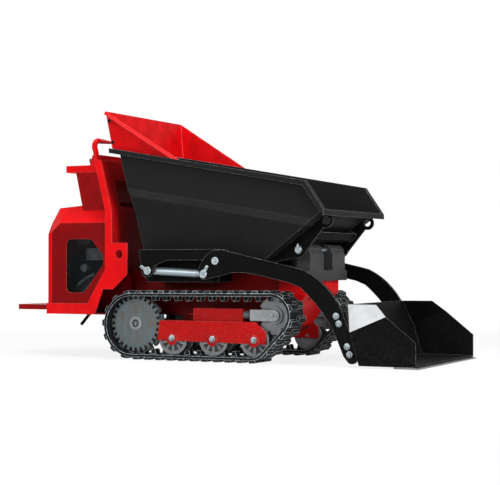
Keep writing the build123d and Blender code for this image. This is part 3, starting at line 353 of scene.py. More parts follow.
# Painted shade: the chassis is darkened to a deep red behind the plane at the nose, where the tub lies under
# the arms; forward of it the plain red shows.
CHASSIS_RED_WITH_PAINTED_SHADE = replace(DARKER_RED_PANELS, name="red chassis paint with painted shade", colour=(0.15, 0.0014, 0.0018),
                        shade=(0.11, 0.001, 0.0014), edge=(0.6, 0.1, 0.1), edge_share=0.4,
                        region=Region.FRONT_HALF, second=RED, plane=0.3985)
TENSION_PAINT = Finish("red tube and grey fork", (0.36, 0.002, 0.003), (0.29, 0.0018, 0.0025),
                       (0.35, 0.5), gloss=0.08, edge=WEAR_AND_HIGHLIGHT_RED, edge_share=0.35,
                       region=Region.FRONT_HALF, second=(0.26, 0.28, 0.29), second_metallic=0.5,
                       plane=0.259)
BLACK_PAINT = Finish("black textured paint", (0.0022, 0.0023, 0.0024), (0.0036, 0.0037, 0.0038),
                     (0.5, 0.65), gloss=0.03, grain=700.0, grain_depth=0.00018,
                     edge=(0.55, 0.55, 0.55), edge_share=0.8, dust_share=0.06)
# The lighter grey on the skip's pressed band is painted light.
SKIP_PAINT = replace(BLACK_PAINT, name="black skip paint with a painted light band", colour=(0.0072, 0.0073, 0.0074),
                     shade=(0.0098, 0.0099, 0.01), gloss=0.06, mottle=5.0, edge=(0.42, 0.43, 0.43),
                     dust_share=0.05, region=Region.BAND, second=(0.023, 0.0232, 0.0234),
                     plane=0.8791, slope=0.1661)
# The light grey second colour on the shovel's up- and outward-facing folds is painted light.
BUCKET_PAINT = replace(BLACK_PAINT, name="black shovel paint with painted light on folds", grain=600.0, grain_depth=0.0002,
                       edge=(0.36, 0.36, 0.36), edge_share=0.6, dust=(0.10, 0.098, 0.094),
                       dust_share=0.08, region=Region.FOLD, second=(0.56, 0.57, 0.58))
GREY_PAINT = Finish("dark grey paint", (0.031, 0.032, 0.033), (0.024, 0.025, 0.026), (0.42, 0.58),
                    gloss=0.12, edge=(0.42, 0.42, 0.42), edge_share=0.7)
ZINC_PLATE = Finish("zinc plating", (0.34, 0.385, 0.41), (0.15, 0.175, 0.19), (0.3, 0.45), metallic=1.0,
                    mottle=110.0, edge=(0.9, 0.92, 0.94), edge_radius=0.001, dust_share=0.1)
TUBE_STEEL = Finish("polished tube", (0.36, 0.42, 0.46), (0.25, 0.30, 0.33), (0.28, 0.42), metallic=0.7,
                    mottle=14.0, streak=(0.2, 1.0, 1.0), edge=(0.8, 0.85, 0.9), edge_radius=0.001,
                    dust_share=0.05, grain_depth=0.00003)
# The light bluish-grey edges at full share are painted highlights on the lug edges, together with wear.
TRACK_RUBBER = Finish("track rubber", (0.004, 0.0045, 0.005), (0.009, 0.01, 0.011), (0.5, 0.75),
                      gloss=0.08, mottle=16.0, grain=500.0, grain_depth=0.0003,
                      edge=(0.66, 0.72, 0.75), edge_share=1.0, edge_radius=0.0055,
                      dust=(0.11, 0.12, 0.13), dust_share=0.12, dust_top=0.5)
CUT_STEEL = Finish("flame-cut steel", (0.085, 0.125, 0.14), (0.10, 0.085, 0.075), (0.42, 0.62),
                   metallic=0.3, gloss=0.3, mottle=26.0, streak=(1.6, 1.0, 0.45), grain=500.0,
                   grain_depth=0.0002, edge=(0.40, 0.50, 0.54), edge_share=0.7, dust_share=0.2)
CAST_IRON = Finish("grey cast iron", (0.21, 0.22, 0.23), (0.15, 0.158, 0.165), (0.45, 0.62),
                   metallic=0.15, gloss=0.2, mottle=18.0, grain=450.0, grain_depth=0.00022,
                   edge=(0.5, 0.52, 0.53), edge_share=0.5, dust_share=0.25)
BLOCK_PAINT = Finish("engine block paint", (0.006, 0.0075, 0.008), (0.01, 0.012, 0.013), (0.45, 0.6),
                     gloss=0.15, edge=(0.1, 0.11, 0.12), edge_share=0.5)
ENGINE_CAST = Finish("engine castings", (0.32, 0.36, 0.38), (0.15, 0.18, 0.19), (0.4, 0.6),
                     metallic=0.1, mottle=25.0, edge=(0.7, 0.74, 0.76), edge_share=0.6)
WORN_STEEL = Finish("worn steel edge", (0.20, 0.205, 0.21), (0.05, 0.05, 0.052), (0.3, 0.55),
                    metallic=0.6, mottle=25.0, streak=(0.25, 1.0, 1.0), edge=(0.6, 0.6, 0.6),
                    edge_share=0.7)
MESH_STEEL = Finish("black expanded steel", (0.0022, 0.0035, 0.004), (0.004, 0.006, 0.007), (0.4, 0.55),
                    gloss=0.08, edge=(0.1, 0.11, 0.12), edge_share=0.1, edge_radius=0.0005)
PAD_RUBBER = Finish("rubber pad", (0.012, 0.012, 0.012), (0.02, 0.02, 0.02), (0.6, 0.8), gloss=0.2)
KNOB_PLASTIC = Finish("glossy plastic", (0.01, 0.01, 0.01), (0.014, 0.014, 0.014), (0.12, 0.25),
                      grain_depth=0.00002)
# Painted shade: a darker grey for the floors of the rollers' recesses.
POCKET_SHADE = Finish("painted shade in the roller recesses", (0.035, 0.037, 0.039), (0.06, 0.063, 0.066), (0.8, 0.9),
                     gloss=0.1, mottle=60.0, edge_share=0.0)
# Painted shade: near black for the insides of holes, slots and bores that are not cut.
HOLE_SHADE = Finish("shadowed hole", (0.0015, 0.0014, 0.0014), (0.003, 0.003, 0.003), (0.8, 0.9),
                    gloss=0.05, edge_share=0.0)

SLOT_FINISH = {
    Slot.RED: RED_PAINT, Slot.BLACK: BLACK_PAINT, Slot.GREY: GREY_PAINT, Slot.ZINC: ZINC_PLATE,
    Slot.CHROME: TUBE_STEEL, Slot.RUBBER: TRACK_RUBBER, Slot.STEEL: CUT_STEEL, Slot.CAST: CAST_IRON,
    Slot.MESH: MESH_STEEL, Slot.ENGINE: ENGINE_CAST, Slot.EDGE: WORN_STEEL, Slot.PAD: PAD_RUBBER,
    Slot.KNOB: KNOB_PLASTIC,
}
NODE_FINISH = {
    "bucket": BUCKET_PAINT, "skip": SKIP_PAINT, "console_column": DARKER_RED_PANELS, "footplate": DARKER_RED_PANELS,
    "chassis_frame": CHASSIS_RED_WITH_PAINTED_SHADE, "engine_block": BLOCK_PAINT,
    **{f"tensioner_{side}": TENSION_PAINT for side in SIDES},
    **{f"track_frame_{side}": FRAME_PAINT for side in SIDES},
}


class PaintShop:
    """Keeps one material for each finish and dresses nodes and pieces with it."""

    def __init__(self) -> None:
        """Start with no material made."""
        self.made: dict[str, bpy.types.Material] = {}

    def material(self, finish: Finish) -> bpy.types.Material:
        """The finish's material, made at its first use."""
        if finish.name not in self.made:
            self.made[finish.name] = finish.material()
        return self.made[finish.name]

    def dress(self, thing: bpy.types.Object, finish: Finish) -> None:
        """Give an object one material."""
        thing.data.materials.clear()
        thing.data.materials.append(self.material(finish))

    def dress_frame(self, frame: dict, special: dict[str, Finish]) -> None:
        """Dress every node of the loaded frame by its slot in the record, or with its special finish."""
        for part in frame["record"]["subparts"]:
            node = part["node"]
            finish = special.get(node, SLOT_FINISH[Slot(part["material_slot"])])
            self.dress(frame["nodes"][node], finish)


SHOP = PaintShop()


def place_object(name: str, data: bpy.types.ID) -> bpy.types.Object:
    """A new object of the scene that shows the given data."""
    thing = bpy.data.objects.new(name, data)
    bpy.context.scene.collection.objects.link(thing)
    return thing


class Stock:
    """Collects grids and plates of points and joins them as one object."""

    def __init__(self, name: str) -> None:
        """Start an empty piece."""
        self.name = name
        self.points: list[Points] = []
        self.faces: list[tuple[int, ...]] = []
        self.count = 0

    def add(self, points: Points, faces: Sequence[Sequence[int]] | Points) -> None:
        """Add points (n, 3) and faces that count from the first of them."""
        if isinstance(faces, np.ndarray):
            self.faces.extend(map(tuple, (faces + self.count).tolist()))
        else:
            self.faces.extend(tuple(index + self.count for index in face) for face in faces)
        self.points.append(points)
        self.count += len(points)

    def grid(self, surface: Points) -> None:
        """Add points (rows, columns, 3) as a surface whose last column is joined to the first."""
        rows, columns = surface.shape[:2]
        index = np.arange(rows * columns).reshape(rows, columns)
        index = np.hstack([index, index[:, :1]])
        quads = np.stack([index[:-1, :-1], index[:-1, 1:], index[1:, 1:], index[1:, :-1]], -1)
        self.add(surface.reshape(-1, 3), quads.reshape(-1, 4))

    def turned(self, profile: Outline, origin: Points, axis: Points,
               turns: int = 24, twist: float = 0.0) -> None:
        """Surface of revolution, point = origin + h axis + r (cos a across + sin a over).

        Args:
            profile: pairs of distance along the axis h and radius r.
            origin: where h is 0.
            axis: direction of h.
            turns: steps of the angle a round the axis, 6 for a hexagon.
            twist: first angle.
        """
        along = np.asarray(axis, float) / np.linalg.norm(axis)
        helper = np.array([0.0, 0.0, 1.0]) if abs(along[2]) < 0.9 else np.array([1.0, 0.0, 0.0])
        across = np.cross(helper, along)
        across /= np.linalg.norm(across)
        over = np.cross(along, across)
        angle = twist + np.arange(turns) * 2 * np.pi / turns
        ring = np.cos(angle)[:, None] * across + np.sin(angle)[:, None] * over
        h, r = np.array(profile, float).T
        surface = np.asarray(origin, float) + h[:, None, None] * along + r[:, None, None] * ring
        self.grid(surface)

    def plate(self, outline: Outline, origin: Points, along: Points, up: Points,
              thickness: float) -> None:
        """Flat plate: an outline in the plane of along and up, thickened along their cross product."""
        along, up = np.asarray(along, float), np.asarray(up, float)
        out = np.cross(along, up)
        flat = np.asarray(outline, float)
        self.prism(np.asarray(origin, float) + flat[:, :1] * along + flat[:, 1:] * up, out * thickness)

    def prism(self, base: Points, offset: Points) -> None:
        """Add the solid between a flat outline (n, 3) and the same outline moved by an offset."""
        count = len(base)
        ring = [(i, (i + 1) % count, count + (i + 1) % count, count + i) for i in range(count)]
        faces = [tuple(range(count - 1, -1, -1)), tuple(range(count, 2 * count)), *ring]
        self.add(np.vstack([base, base + offset]), faces)

    def sheet(self, corners: Sequence[Points], thickness: float) -> None:
        """Add a flat sheet, thickened along the cross product of its first two edges."""
        base = np.asarray(corners, float)
        normal = np.cross(base[1] - base[0], base[2] - base[1])
        self.prism(base, normal / np.linalg.norm(normal) * thickness)

    def tube(self, path: Points, radius: Points | float, turns: int) -> None:
        """Round tube, point = path(s) + r(s) (cos a side + sin a over), closed at both ends.

        Args:
            path: points (n, 3) on the centre line.
            radius: one radius, or one for each point.
            turns: steps of the angle a.
        """
        path = np.asarray(path, float)
        tangent = np.gradient(path, axis=0)
        tangent /= np.linalg.norm(tangent, axis=1)[:, None]
        helper = np.array([0.0, 0.0, 1.0]) if abs(tangent[:, 2]).max() < 0.95 else np.array([0.0, 1.0, 0.0])
        side = np.cross(tangent, helper)
        side /= np.linalg.norm(side, axis=1)[:, None]
        over = np.cross(side, tangent)
        radius = np.broadcast_to(np.asarray(radius, float), len(path)).copy()
        path = np.vstack([path[:1], path, path[-1:]])
        side = np.vstack([side[:1], side, side[-1:]])
        over = np.vstack([over[:1], over, over[-1:]])
        radius = np.concatenate([[0.0], radius, [0.0]])
        angle = np.arange(turns) * 2 * np.pi / turns
        surface = path[:, None] + radius[:, None, None] * (
            np.cos(angle)[None, :, None] * side[:, None] + np.sin(angle)[None, :, None] * over[:, None])
        self.grid(surface)

    def slab(self, outline: Outline, *ends: float) -> None:
        """Plate between two places across the machine, its outline in X and Z of the frame."""
        low, high = sorted(ends)
        self.plate(outline, (0.0, high, 0.0), (1, 0, 0), (0, 0, 1), high - low)

    def clipped(self, planes: Sequence[tuple[Points, Triple]]) -> None:
        """Add the convex solid behind all the planes, each a point and a normal that points outward."""
        shape = bmesh.new()
        bmesh.ops.create_cube(shape, size=CUBE_SIDE)
        for place, normal in planes:
            parts = shape.verts[:] + shape.edges[:] + shape.faces[:]
            cut = bmesh.ops.bisect_plane(shape, geom=parts, plane_co=place, plane_no=normal, clear_outer=True)
            rim = [part for part in cut["geom_cut"] if isinstance(part, bmesh.types.BMEdge)]
            bmesh.ops.holes_fill(shape, edges=rim)
        shape.verts.index_update()
        self.add(np.array([corner.co[:] for corner in shape.verts]),
                 [[corner.index for corner in face.verts] for face in shape.faces])
        shape.free()

    def joined(self) -> bpy.types.Object:
        """One welded object of what was added, its faces turned outward."""
        mesh = bpy.data.meshes.new(self.name)
        mesh.from_pydata(np.vstack(self.points).tolist(), [], self.faces)
        shape = bmesh.new()
        shape.from_mesh(mesh)
        bmesh.ops.remove_doubles(shape, verts=shape.verts, dist=1e-5)
        bmesh.ops.dissolve_degenerate(shape, edges=shape.edges, dist=1e-6)
        bmesh.ops.recalc_face_normals(shape, faces=shape.faces)
        shape.to_mesh(mesh)
        shape.free()
        return place_object(self.name, mesh)

    def carve(self, *tools: "Stock") -> None:
        """Cut the closed solids of other stock out of this one."""
        body, cutters = self.joined(), [tool.joined() for tool in tools]
        for cutter in cutters:
            modifier = body.modifiers.new("cut", "BOOLEAN")
            modifier.solver = "EXACT"
            modifier.object = cutter
        view = bpy.context.evaluated_depsgraph_get()
        mesh = bpy.data.meshes.new_from_object(body.evaluated_get(view))
        self.points, self.faces, self.count = [], [], 0
        self.add(np.array([corner.co[:] for corner in mesh.vertices]),
                 [tuple(face.vertices) for face in mesh.polygons])
        for thing in (body, *cutters):
            bpy.data.objects.remove(thing)

    def finish(self, body: str, slot: Slot, finish: Finish | None = None, bevel: float = 0.0,
               smooth: bool = False) -> bpy.types.Object:
        """Join what was added, close it, turn its faces outward, and hang it on its body.

        Args:
            body: the body that carries the piece.
            slot: the record's material slot.
            finish: the finish, where it isn't the slot's own.
            bevel: width of a live bevel on sharp edges, in metres.
            smooth: shade smooth below the sharp angle.

        Returns:
            The object.
        """
        thing = self.joined()
        mesh = thing.data
        if smooth:
            mesh.shade_smooth()
            mesh.set_sharp_from_angle(angle=math.radians(35))
        if bevel:
            modifier = thing.modifiers.new("edge", "BEVEL")
            modifier.width = bevel
            modifier.segments = 2
            modifier.limit_method = "ANGLE"
        SHOP.dress(thing, finish or SLOT_FINISH[slot])
        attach(thing, body)
        log.info("%s: %d faces on %s", self.name, len(mesh.polygons), body)
        return thing


@dataclass(frozen=True)
class Datum:
    """Turns lengths measured on the machine into the frame's coordinates."""

    axle_x: float

    def at(self, x: float, y: float, z: float) -> Points:
        """A point x forward of the sprockets' axle."""
        return np.array([self.axle_x + x, y, z])

    def flat(self, *corners: Pair) -> Outline:
        """Corners in X and Z, their X counted in the frame."""
        return [(self.axle_x + x, z) for x, z in corners]


@dataclass
class Studio:
    """Camera, lamps, white surroundings and the floor."""

    camera_place: Triple = (3.6568, -7.1523, 0.5395)
    azimuth: float = 26.33
    elevation: float = -0.64
    lens: float = 101.48
    shift_up: float = 0.0075
    floor_size: float = 60.0
    floor_colour: Triple = (0.82, 0.82, 0.82)
    ambient: float = 0.22
    ground: float = 0.0
    near_radius: float = 1.9
    far_radius: float = 4.5
    near_share: float = 0.84

    def camera(self) -> None:
        """Place the camera at the photograph's angle, level, its back vector worked out from the angles."""
        az, el = math.radians(self.azimuth), math.radians(self.elevation)
        back = Vector((math.sin(az) * math.cos(el), -math.cos(az) * math.cos(el), math.sin(el)))
        across = Vector((math.cos(az), math.sin(az), 0.0))
        data = bpy.data.cameras.new("camera")
        data.lens = self.lens
        data.shift_y = self.shift_up
        camera = place_object("camera", data)
        turn = Matrix((across, back.cross(across), back)).transposed().to_4x4()
        camera.matrix_world = Matrix.Translation(self.camera_place) @ turn
        bpy.context.scene.camera = camera

    def world(self) -> None:
        """White where it is seen, and an even soft light elsewhere."""
        world = bpy.data.worlds.new("surroundings")
        wiring = Wiring(world, "World")
        soft = wiring.node("Background", {"Color": WHITE, "Strength": self.ambient})
        wiring.blend(wiring.seen_directly(), soft, wiring.node("Background", {"Color": WHITE}))
        bpy.context.scene.world = world

    def floor(self) -> None:
        """White floor that keeps a part of the machine's shadow and turns pure white further out."""
        half, z = self.floor_size / 2, self.ground
        mesh = bpy.data.meshes.new("floor")
        mesh.from_pydata([(-half, -half, z), (half, -half, z), (half, half, z), (-half, half, z)], [],
                         [(0, 1, 2, 3)])
        material = bpy.data.materials.new("floor")
        wiring = Wiring(material)
        length = wiring.node("VectorMath", {0: wiring.place}, operation="LENGTH").outputs["Value"]
        fade = wiring.step(length, self.near_radius, self.far_radius, (self.near_share, 1.0), "SMOOTHSTEP")
        wiring.blend(wiring.maths("MULTIPLY", wiring.seen_directly(), fade),
                     wiring.node("BsdfDiffuse", {"Color": self.floor_colour}), wiring.node("Emission"))
        mesh.materials.append(material)
        place_object("floor", mesh)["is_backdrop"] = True

    def lamp(self, name: str, place: Triple, target: Triple, size: float, power: float) -> None:
        """A square soft lamp that looks at a point."""
        data = bpy.data.lights.new(name, "AREA")
        data.size = size
        data.energy = power
        lamp = place_object(name, data)
        lamp.location = place
        lamp.rotation_euler = (Vector(target) - Vector(place)).to_track_quat("-Z", "Y").to_euler()

    def build(self) -> None:
        """Set up everything that isn't the machine."""
        self.camera()
        self.world()
        self.floor()
        middle = (0.0, 0.0, 0.6)
        self.lamp("top softbox", (0.2, -0.8, 4.2), middle, 3.0, 150.0)
        self.lamp("front key", (4.4, -2.0, 1.9), (0.3, 0.0, 0.4), 1.6, 190.0)
        self.lamp("rear fill", (-3.6, 3.2, 3.0), middle, 2.4, 70.0)
        self.lamp("side fill", (-1.4, -4.5, 2.0), middle, 2.0, 85.0)
        bpy.context.scene.view_settings.view_transform = "Standard"


def outward(side: float) -> Points:
    """Direction out of the machine on one of its sides."""
    return np.array([0.0, side, 0.0])


def knob(*rim: Pair) -> Outline:
    """Profile to be turned, closed at the axis under its first point and over its last."""
    return [(rim[0][0], 0.0), *rim, (rim[-1][0], 0.0)]


def disc(radius: float, height: float) -> Outline:
    """Profile of a plain disc."""
    return knob((0.0, radius), (height, radius))


@dataclass(frozen=True)
class Screw:
    """Hexagon head with a chamfered crown on a round washer."""

    radius: float
    height: float
    washer: float
    washer_height: float

    def add(self, stock: Stock, place: Points, axis: Points, twist: float = 0.3) -> None:
        """Put one screw on a surface, its head standing along axis."""
        base, top = self.washer_height, self.washer_height + self.height
        washer = knob((0.0, self.washer), (base * 0.8, self.washer), (base, self.washer * 0.95))
        stock.turned(washer, place, axis)
        head = knob((base, self.radius), (top - 0.0015, self.radius), (top, self.radius * 0.82))
        stock.turned(head, place, axis, 6, twist)


ARM_SCREW = Screw(0.0125, 0.0075, 0.0175, 0.0025)
AXLE_SCREW = Screw(0.0142, 0.0125, 0.0188, 0.0026)
PLATE_SCREW = Screw(0.0065, 0.004, 0.0085, 0.0012)
FORK_SCREW = Screw(0.0055, 0.004, 0.0085, 0.0012)
HUB_SCREW = Screw(0.0032, 0.0022, 0.0042, 0.0012)


@dataclass(frozen=True)
class PinHead:
    """Turned head of a pin with a grease nipple, and a lock plate where it has one."""

    radius: float
    height: float
    plate_length: float = 0.0
    plate_width: float = 0.0
    plate_thickness: float = 0.004

    def add(self, stock: Stock, place: Points, side: float, plate_angle: float | None) -> None:
        """Put the head on an outer face.

        Args:
            stock: the piece that it joins.
            place: centre of the pin on the face.
            side: -1 on the right of the machine and 1 on its left.
            plate_angle: direction of the lock plate, in degrees from forward to up, or None for no plate.
        """
        out, r, h = outward(side), self.radius, self.height
        floor = h - 0.0015
        stock.turned(knob((0.0, r), (h - 0.002, r), (h, r - 0.002), (h, r * 0.52), (floor, r * 0.48)),
                     place, out, 28)
        nipple = [(0.0, 0.0), (0.0, 0.0045), (0.002, 0.0045), (0.0028, 0.003), (0.0036, 0.003), (0.004, 0.0)]
        stock.turned(nipple, place + out * floor, out, 12)
        if plate_angle is None:
            return
        angle = math.radians(plate_angle)
        along = np.array([math.cos(angle), 0.0, math.sin(angle)])
        half, start, end = self.plate_width / 2, r * 0.55, r * 0.55 + self.plate_length
        shape = [(start, -half), (end - 0.005, -half), (end, -half + 0.005), (end, half - 0.005),
                 (end - 0.005, half), (start, half)]
        stock.plate(shape, place, along, np.cross(out, along), self.plate_thickness)
        PLATE_SCREW.add(stock, place + along * (end - 0.012) + out * self.plate_thickness, out)


ARM_PIN = PinHead(0.0215, 0.0085)
CYLINDER_PIN = PinHead(0.023, 0.0082, 0.04, 0.019)
SKIP_PIN = PinHead(0.017, 0.007, 0.024, 0.014)


@dataclass
class Fasteners:
    """Screws and pin heads, with their places forward of the axle and above the ground."""

    datum: Datum
    arm_face: float = 0.4663
    bracket_face: float = 0.4483
    arm_screws: Outline = ((1.242, 0.261), (1.257, 0.222), (1.303, 0.106), (1.316, 0.066))
    arm_pivot: Pair = (0.542, 0.545)
    lever_pin: Pair = (0.470, 0.474)
    cylinder_pin: Pair = (0.112, 0.491)
    skip_pin: Pair = (0.958, 0.605)
    skip_pin_face: float = 0.3075
    roller_face: float = 0.4022
    fork: Triple = (0.850, 0.384, 0.254)

    def build(self) -> None:
        """Make one piece for each body that carries fasteners."""
        chassis, loader, skip = (Stock(f"{name}_fasteners") for name in ("chassis", "loader", "skip"))
        for side in SIDES.values():
            out = outward(side)
            for number, (x, z) in enumerate(self.arm_screws):
                ARM_SCREW.add(loader, self.datum.at(x, side * self.arm_face, z), out, 0.2 + 0.37 * number)
            for stock, pin, (x, z), face, angle in (
                    (chassis, ARM_PIN, self.arm_pivot, self.arm_face, None),
                    (loader, CYLINDER_PIN, self.lever_pin, self.arm_face, 62.0),
                    (chassis, CYLINDER_PIN, self.cylinder_pin, self.bracket_face, 150.0),
                    (skip, SKIP_PIN, self.skip_pin, self.skip_pin_face, 95.0)):
                pin.add(stock, self.datum.at(x, side * face, z), side, angle)
            for x in ROLLERS_X:
                AXLE_SCREW.add(chassis, self.datum.at(x, side * self.roller_face, ROLLERS_Z), out, 0.5 + x)
            x, face, z = self.fork
            for shift in (-0.011, 0.011):
                FORK_SCREW.add(chassis, self.datum.at(x + shift, side * (face + 0.002), z), out)
        for stock, body in ((chassis, "chassis"), (loader, "loader"), (skip, "skip_body")):
            stock.finish(body, Slot.ZINC, bevel=0.0006, smooth=True)


def inside(points: Points, outline: Points) -> Points:
    """Even-odd test of points (n, 2) against a closed outline (m, 2).

    Returns:
        A mask, true inside: an odd count of edges crossed by a ray that runs along the first axis.
    """
    start, end = outline, np.roll(outline, -1, axis=0)
    x, z = points[:, :1], points[:, 1:]
    spans = (start[:, 1] > z) != (end[:, 1] > z)
    rise = np.where(end[:, 1] == start[:, 1], 1e-9, end[:, 1] - start[:, 1])
    cross = start[:, 0] + (z - start[:, 1]) * (end[:, 0] - start[:, 0]) / rise
    return (np.sum(spans & (x < cross), axis=1) % 2).astype(bool)


@dataclass
class HoodWindow:
    """Expanded metal behind the window of the hood's side panel."""

    datum: Datum
    outline: Outline = ((-0.485, 0.353), (-0.485, 0.682), (-0.299, 0.682), (-0.2085, 0.586),
                        (-0.2085, 0.518), (-0.344, 0.353))
    panel_inside: float = 0.3688
    pitch_x: float = 0.0125
    pitch_z: float = 0.0072
    strand: float = 0.0009

    def strands(self, side: float) -> tuple[Points, Points]:
        """Zigzag strands, row k at height z = k p / 2 + (p / 4) t with t a triangle wave of x.

        Returns:
            Points (rows, columns, 4 corners, 3), and the flat places (rows, columns, 2) of the centres.
        """
        flat = np.array(self.outline)
        low, high = flat.min(0), flat.max(0)
        x = np.arange(low[0], high[0], self.pitch_x / 4)
        rows = np.arange(int((high[1] - low[1]) / (self.pitch_z / 2)))
        wave = 4 * np.abs((x / self.pitch_x) % 1.0 - 0.5) - 1.0
        sign = np.where(rows % 2, -1.0, 1.0)
        z = low[1] + rows[:, None] * self.pitch_z / 2 + sign[:, None] * wave * self.pitch_z / 4
        half = self.strand
        corners = np.array([(-half, -half), (-half, half), (half, half), (half, -half)])
        tilt = np.where(sign > 0, 0.6, -0.6)[:, None, None] * half
        depth = side * (self.panel_inside - 0.0018 + corners[None, None, :, 0] * 0.7 + tilt)
        height = z[..., None] + corners[None, None, :, 1]
        along = np.broadcast_to((self.datum.axle_x + x)[None, :, None], height.shape)
        centre = np.stack([np.broadcast_to(x, z.shape), z], -1)
        return np.stack([along, np.broadcast_to(depth, height.shape), height], -1), centre

    def build(self) -> None:
        """Make the lattice of each side and let it stand for the node behind the window."""
        for name, side in SIDES.items():
            corners, centre = self.strands(side)
            keep = inside(centre.reshape(-1, 2), np.array(self.outline)).reshape(centre.shape[:2])
            stock = Stock(f"hood_lattice_{name}")
            for row, kept in zip(corners, keep):
                run = np.flatnonzero(kept)
                if len(run) < 2:
                    continue
                strand = row[run[0]:run[-1] + 1]
                first, last = (end.mean(1, keepdims=True).repeat(4, 1) for end in (strand[:1], strand[-1:]))
                stock.grid(np.concatenate([first, strand, last]))
            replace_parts(stock.finish("chassis", Slot.MESH), f"hood_grille_{name}")


def rounded(outline: Outline, radius: float, steps: int = 6) -> Outline:
    """Round the corners of a closed outline.

    Args:
        outline: corners in order.
        radius: radius of each corner.
        steps: edges in each corner's arc.

    Returns:
        The outline, each corner replaced by the quadratic arc that meets both edges r tan(turn / 2) away.
    """
    flat = np.asarray(outline, float)
    result = []
    for before, corner, after in zip(np.roll(flat, 1, 0), flat, np.roll(flat, -1, 0)):
        back, ahead = before - corner, after - corner
        back_length, ahead_length = np.linalg.norm(back), np.linalg.norm(ahead)
        back, ahead = back / back_length, ahead / ahead_length
        turn = math.pi - math.acos(float(np.clip(back @ ahead, -1.0, 1.0)))
        reach = min(radius * math.tan(turn / 2), 0.45 * back_length, 0.45 * ahead_length)
        start, end = corner + back * reach, corner + ahead * reach
        result += [tuple((1 - t) ** 2 * start + 2 * t * (1 - t) * corner + t ** 2 * end)
                   for t in np.linspace(0.0, 1.0, steps + 1)]
    return result


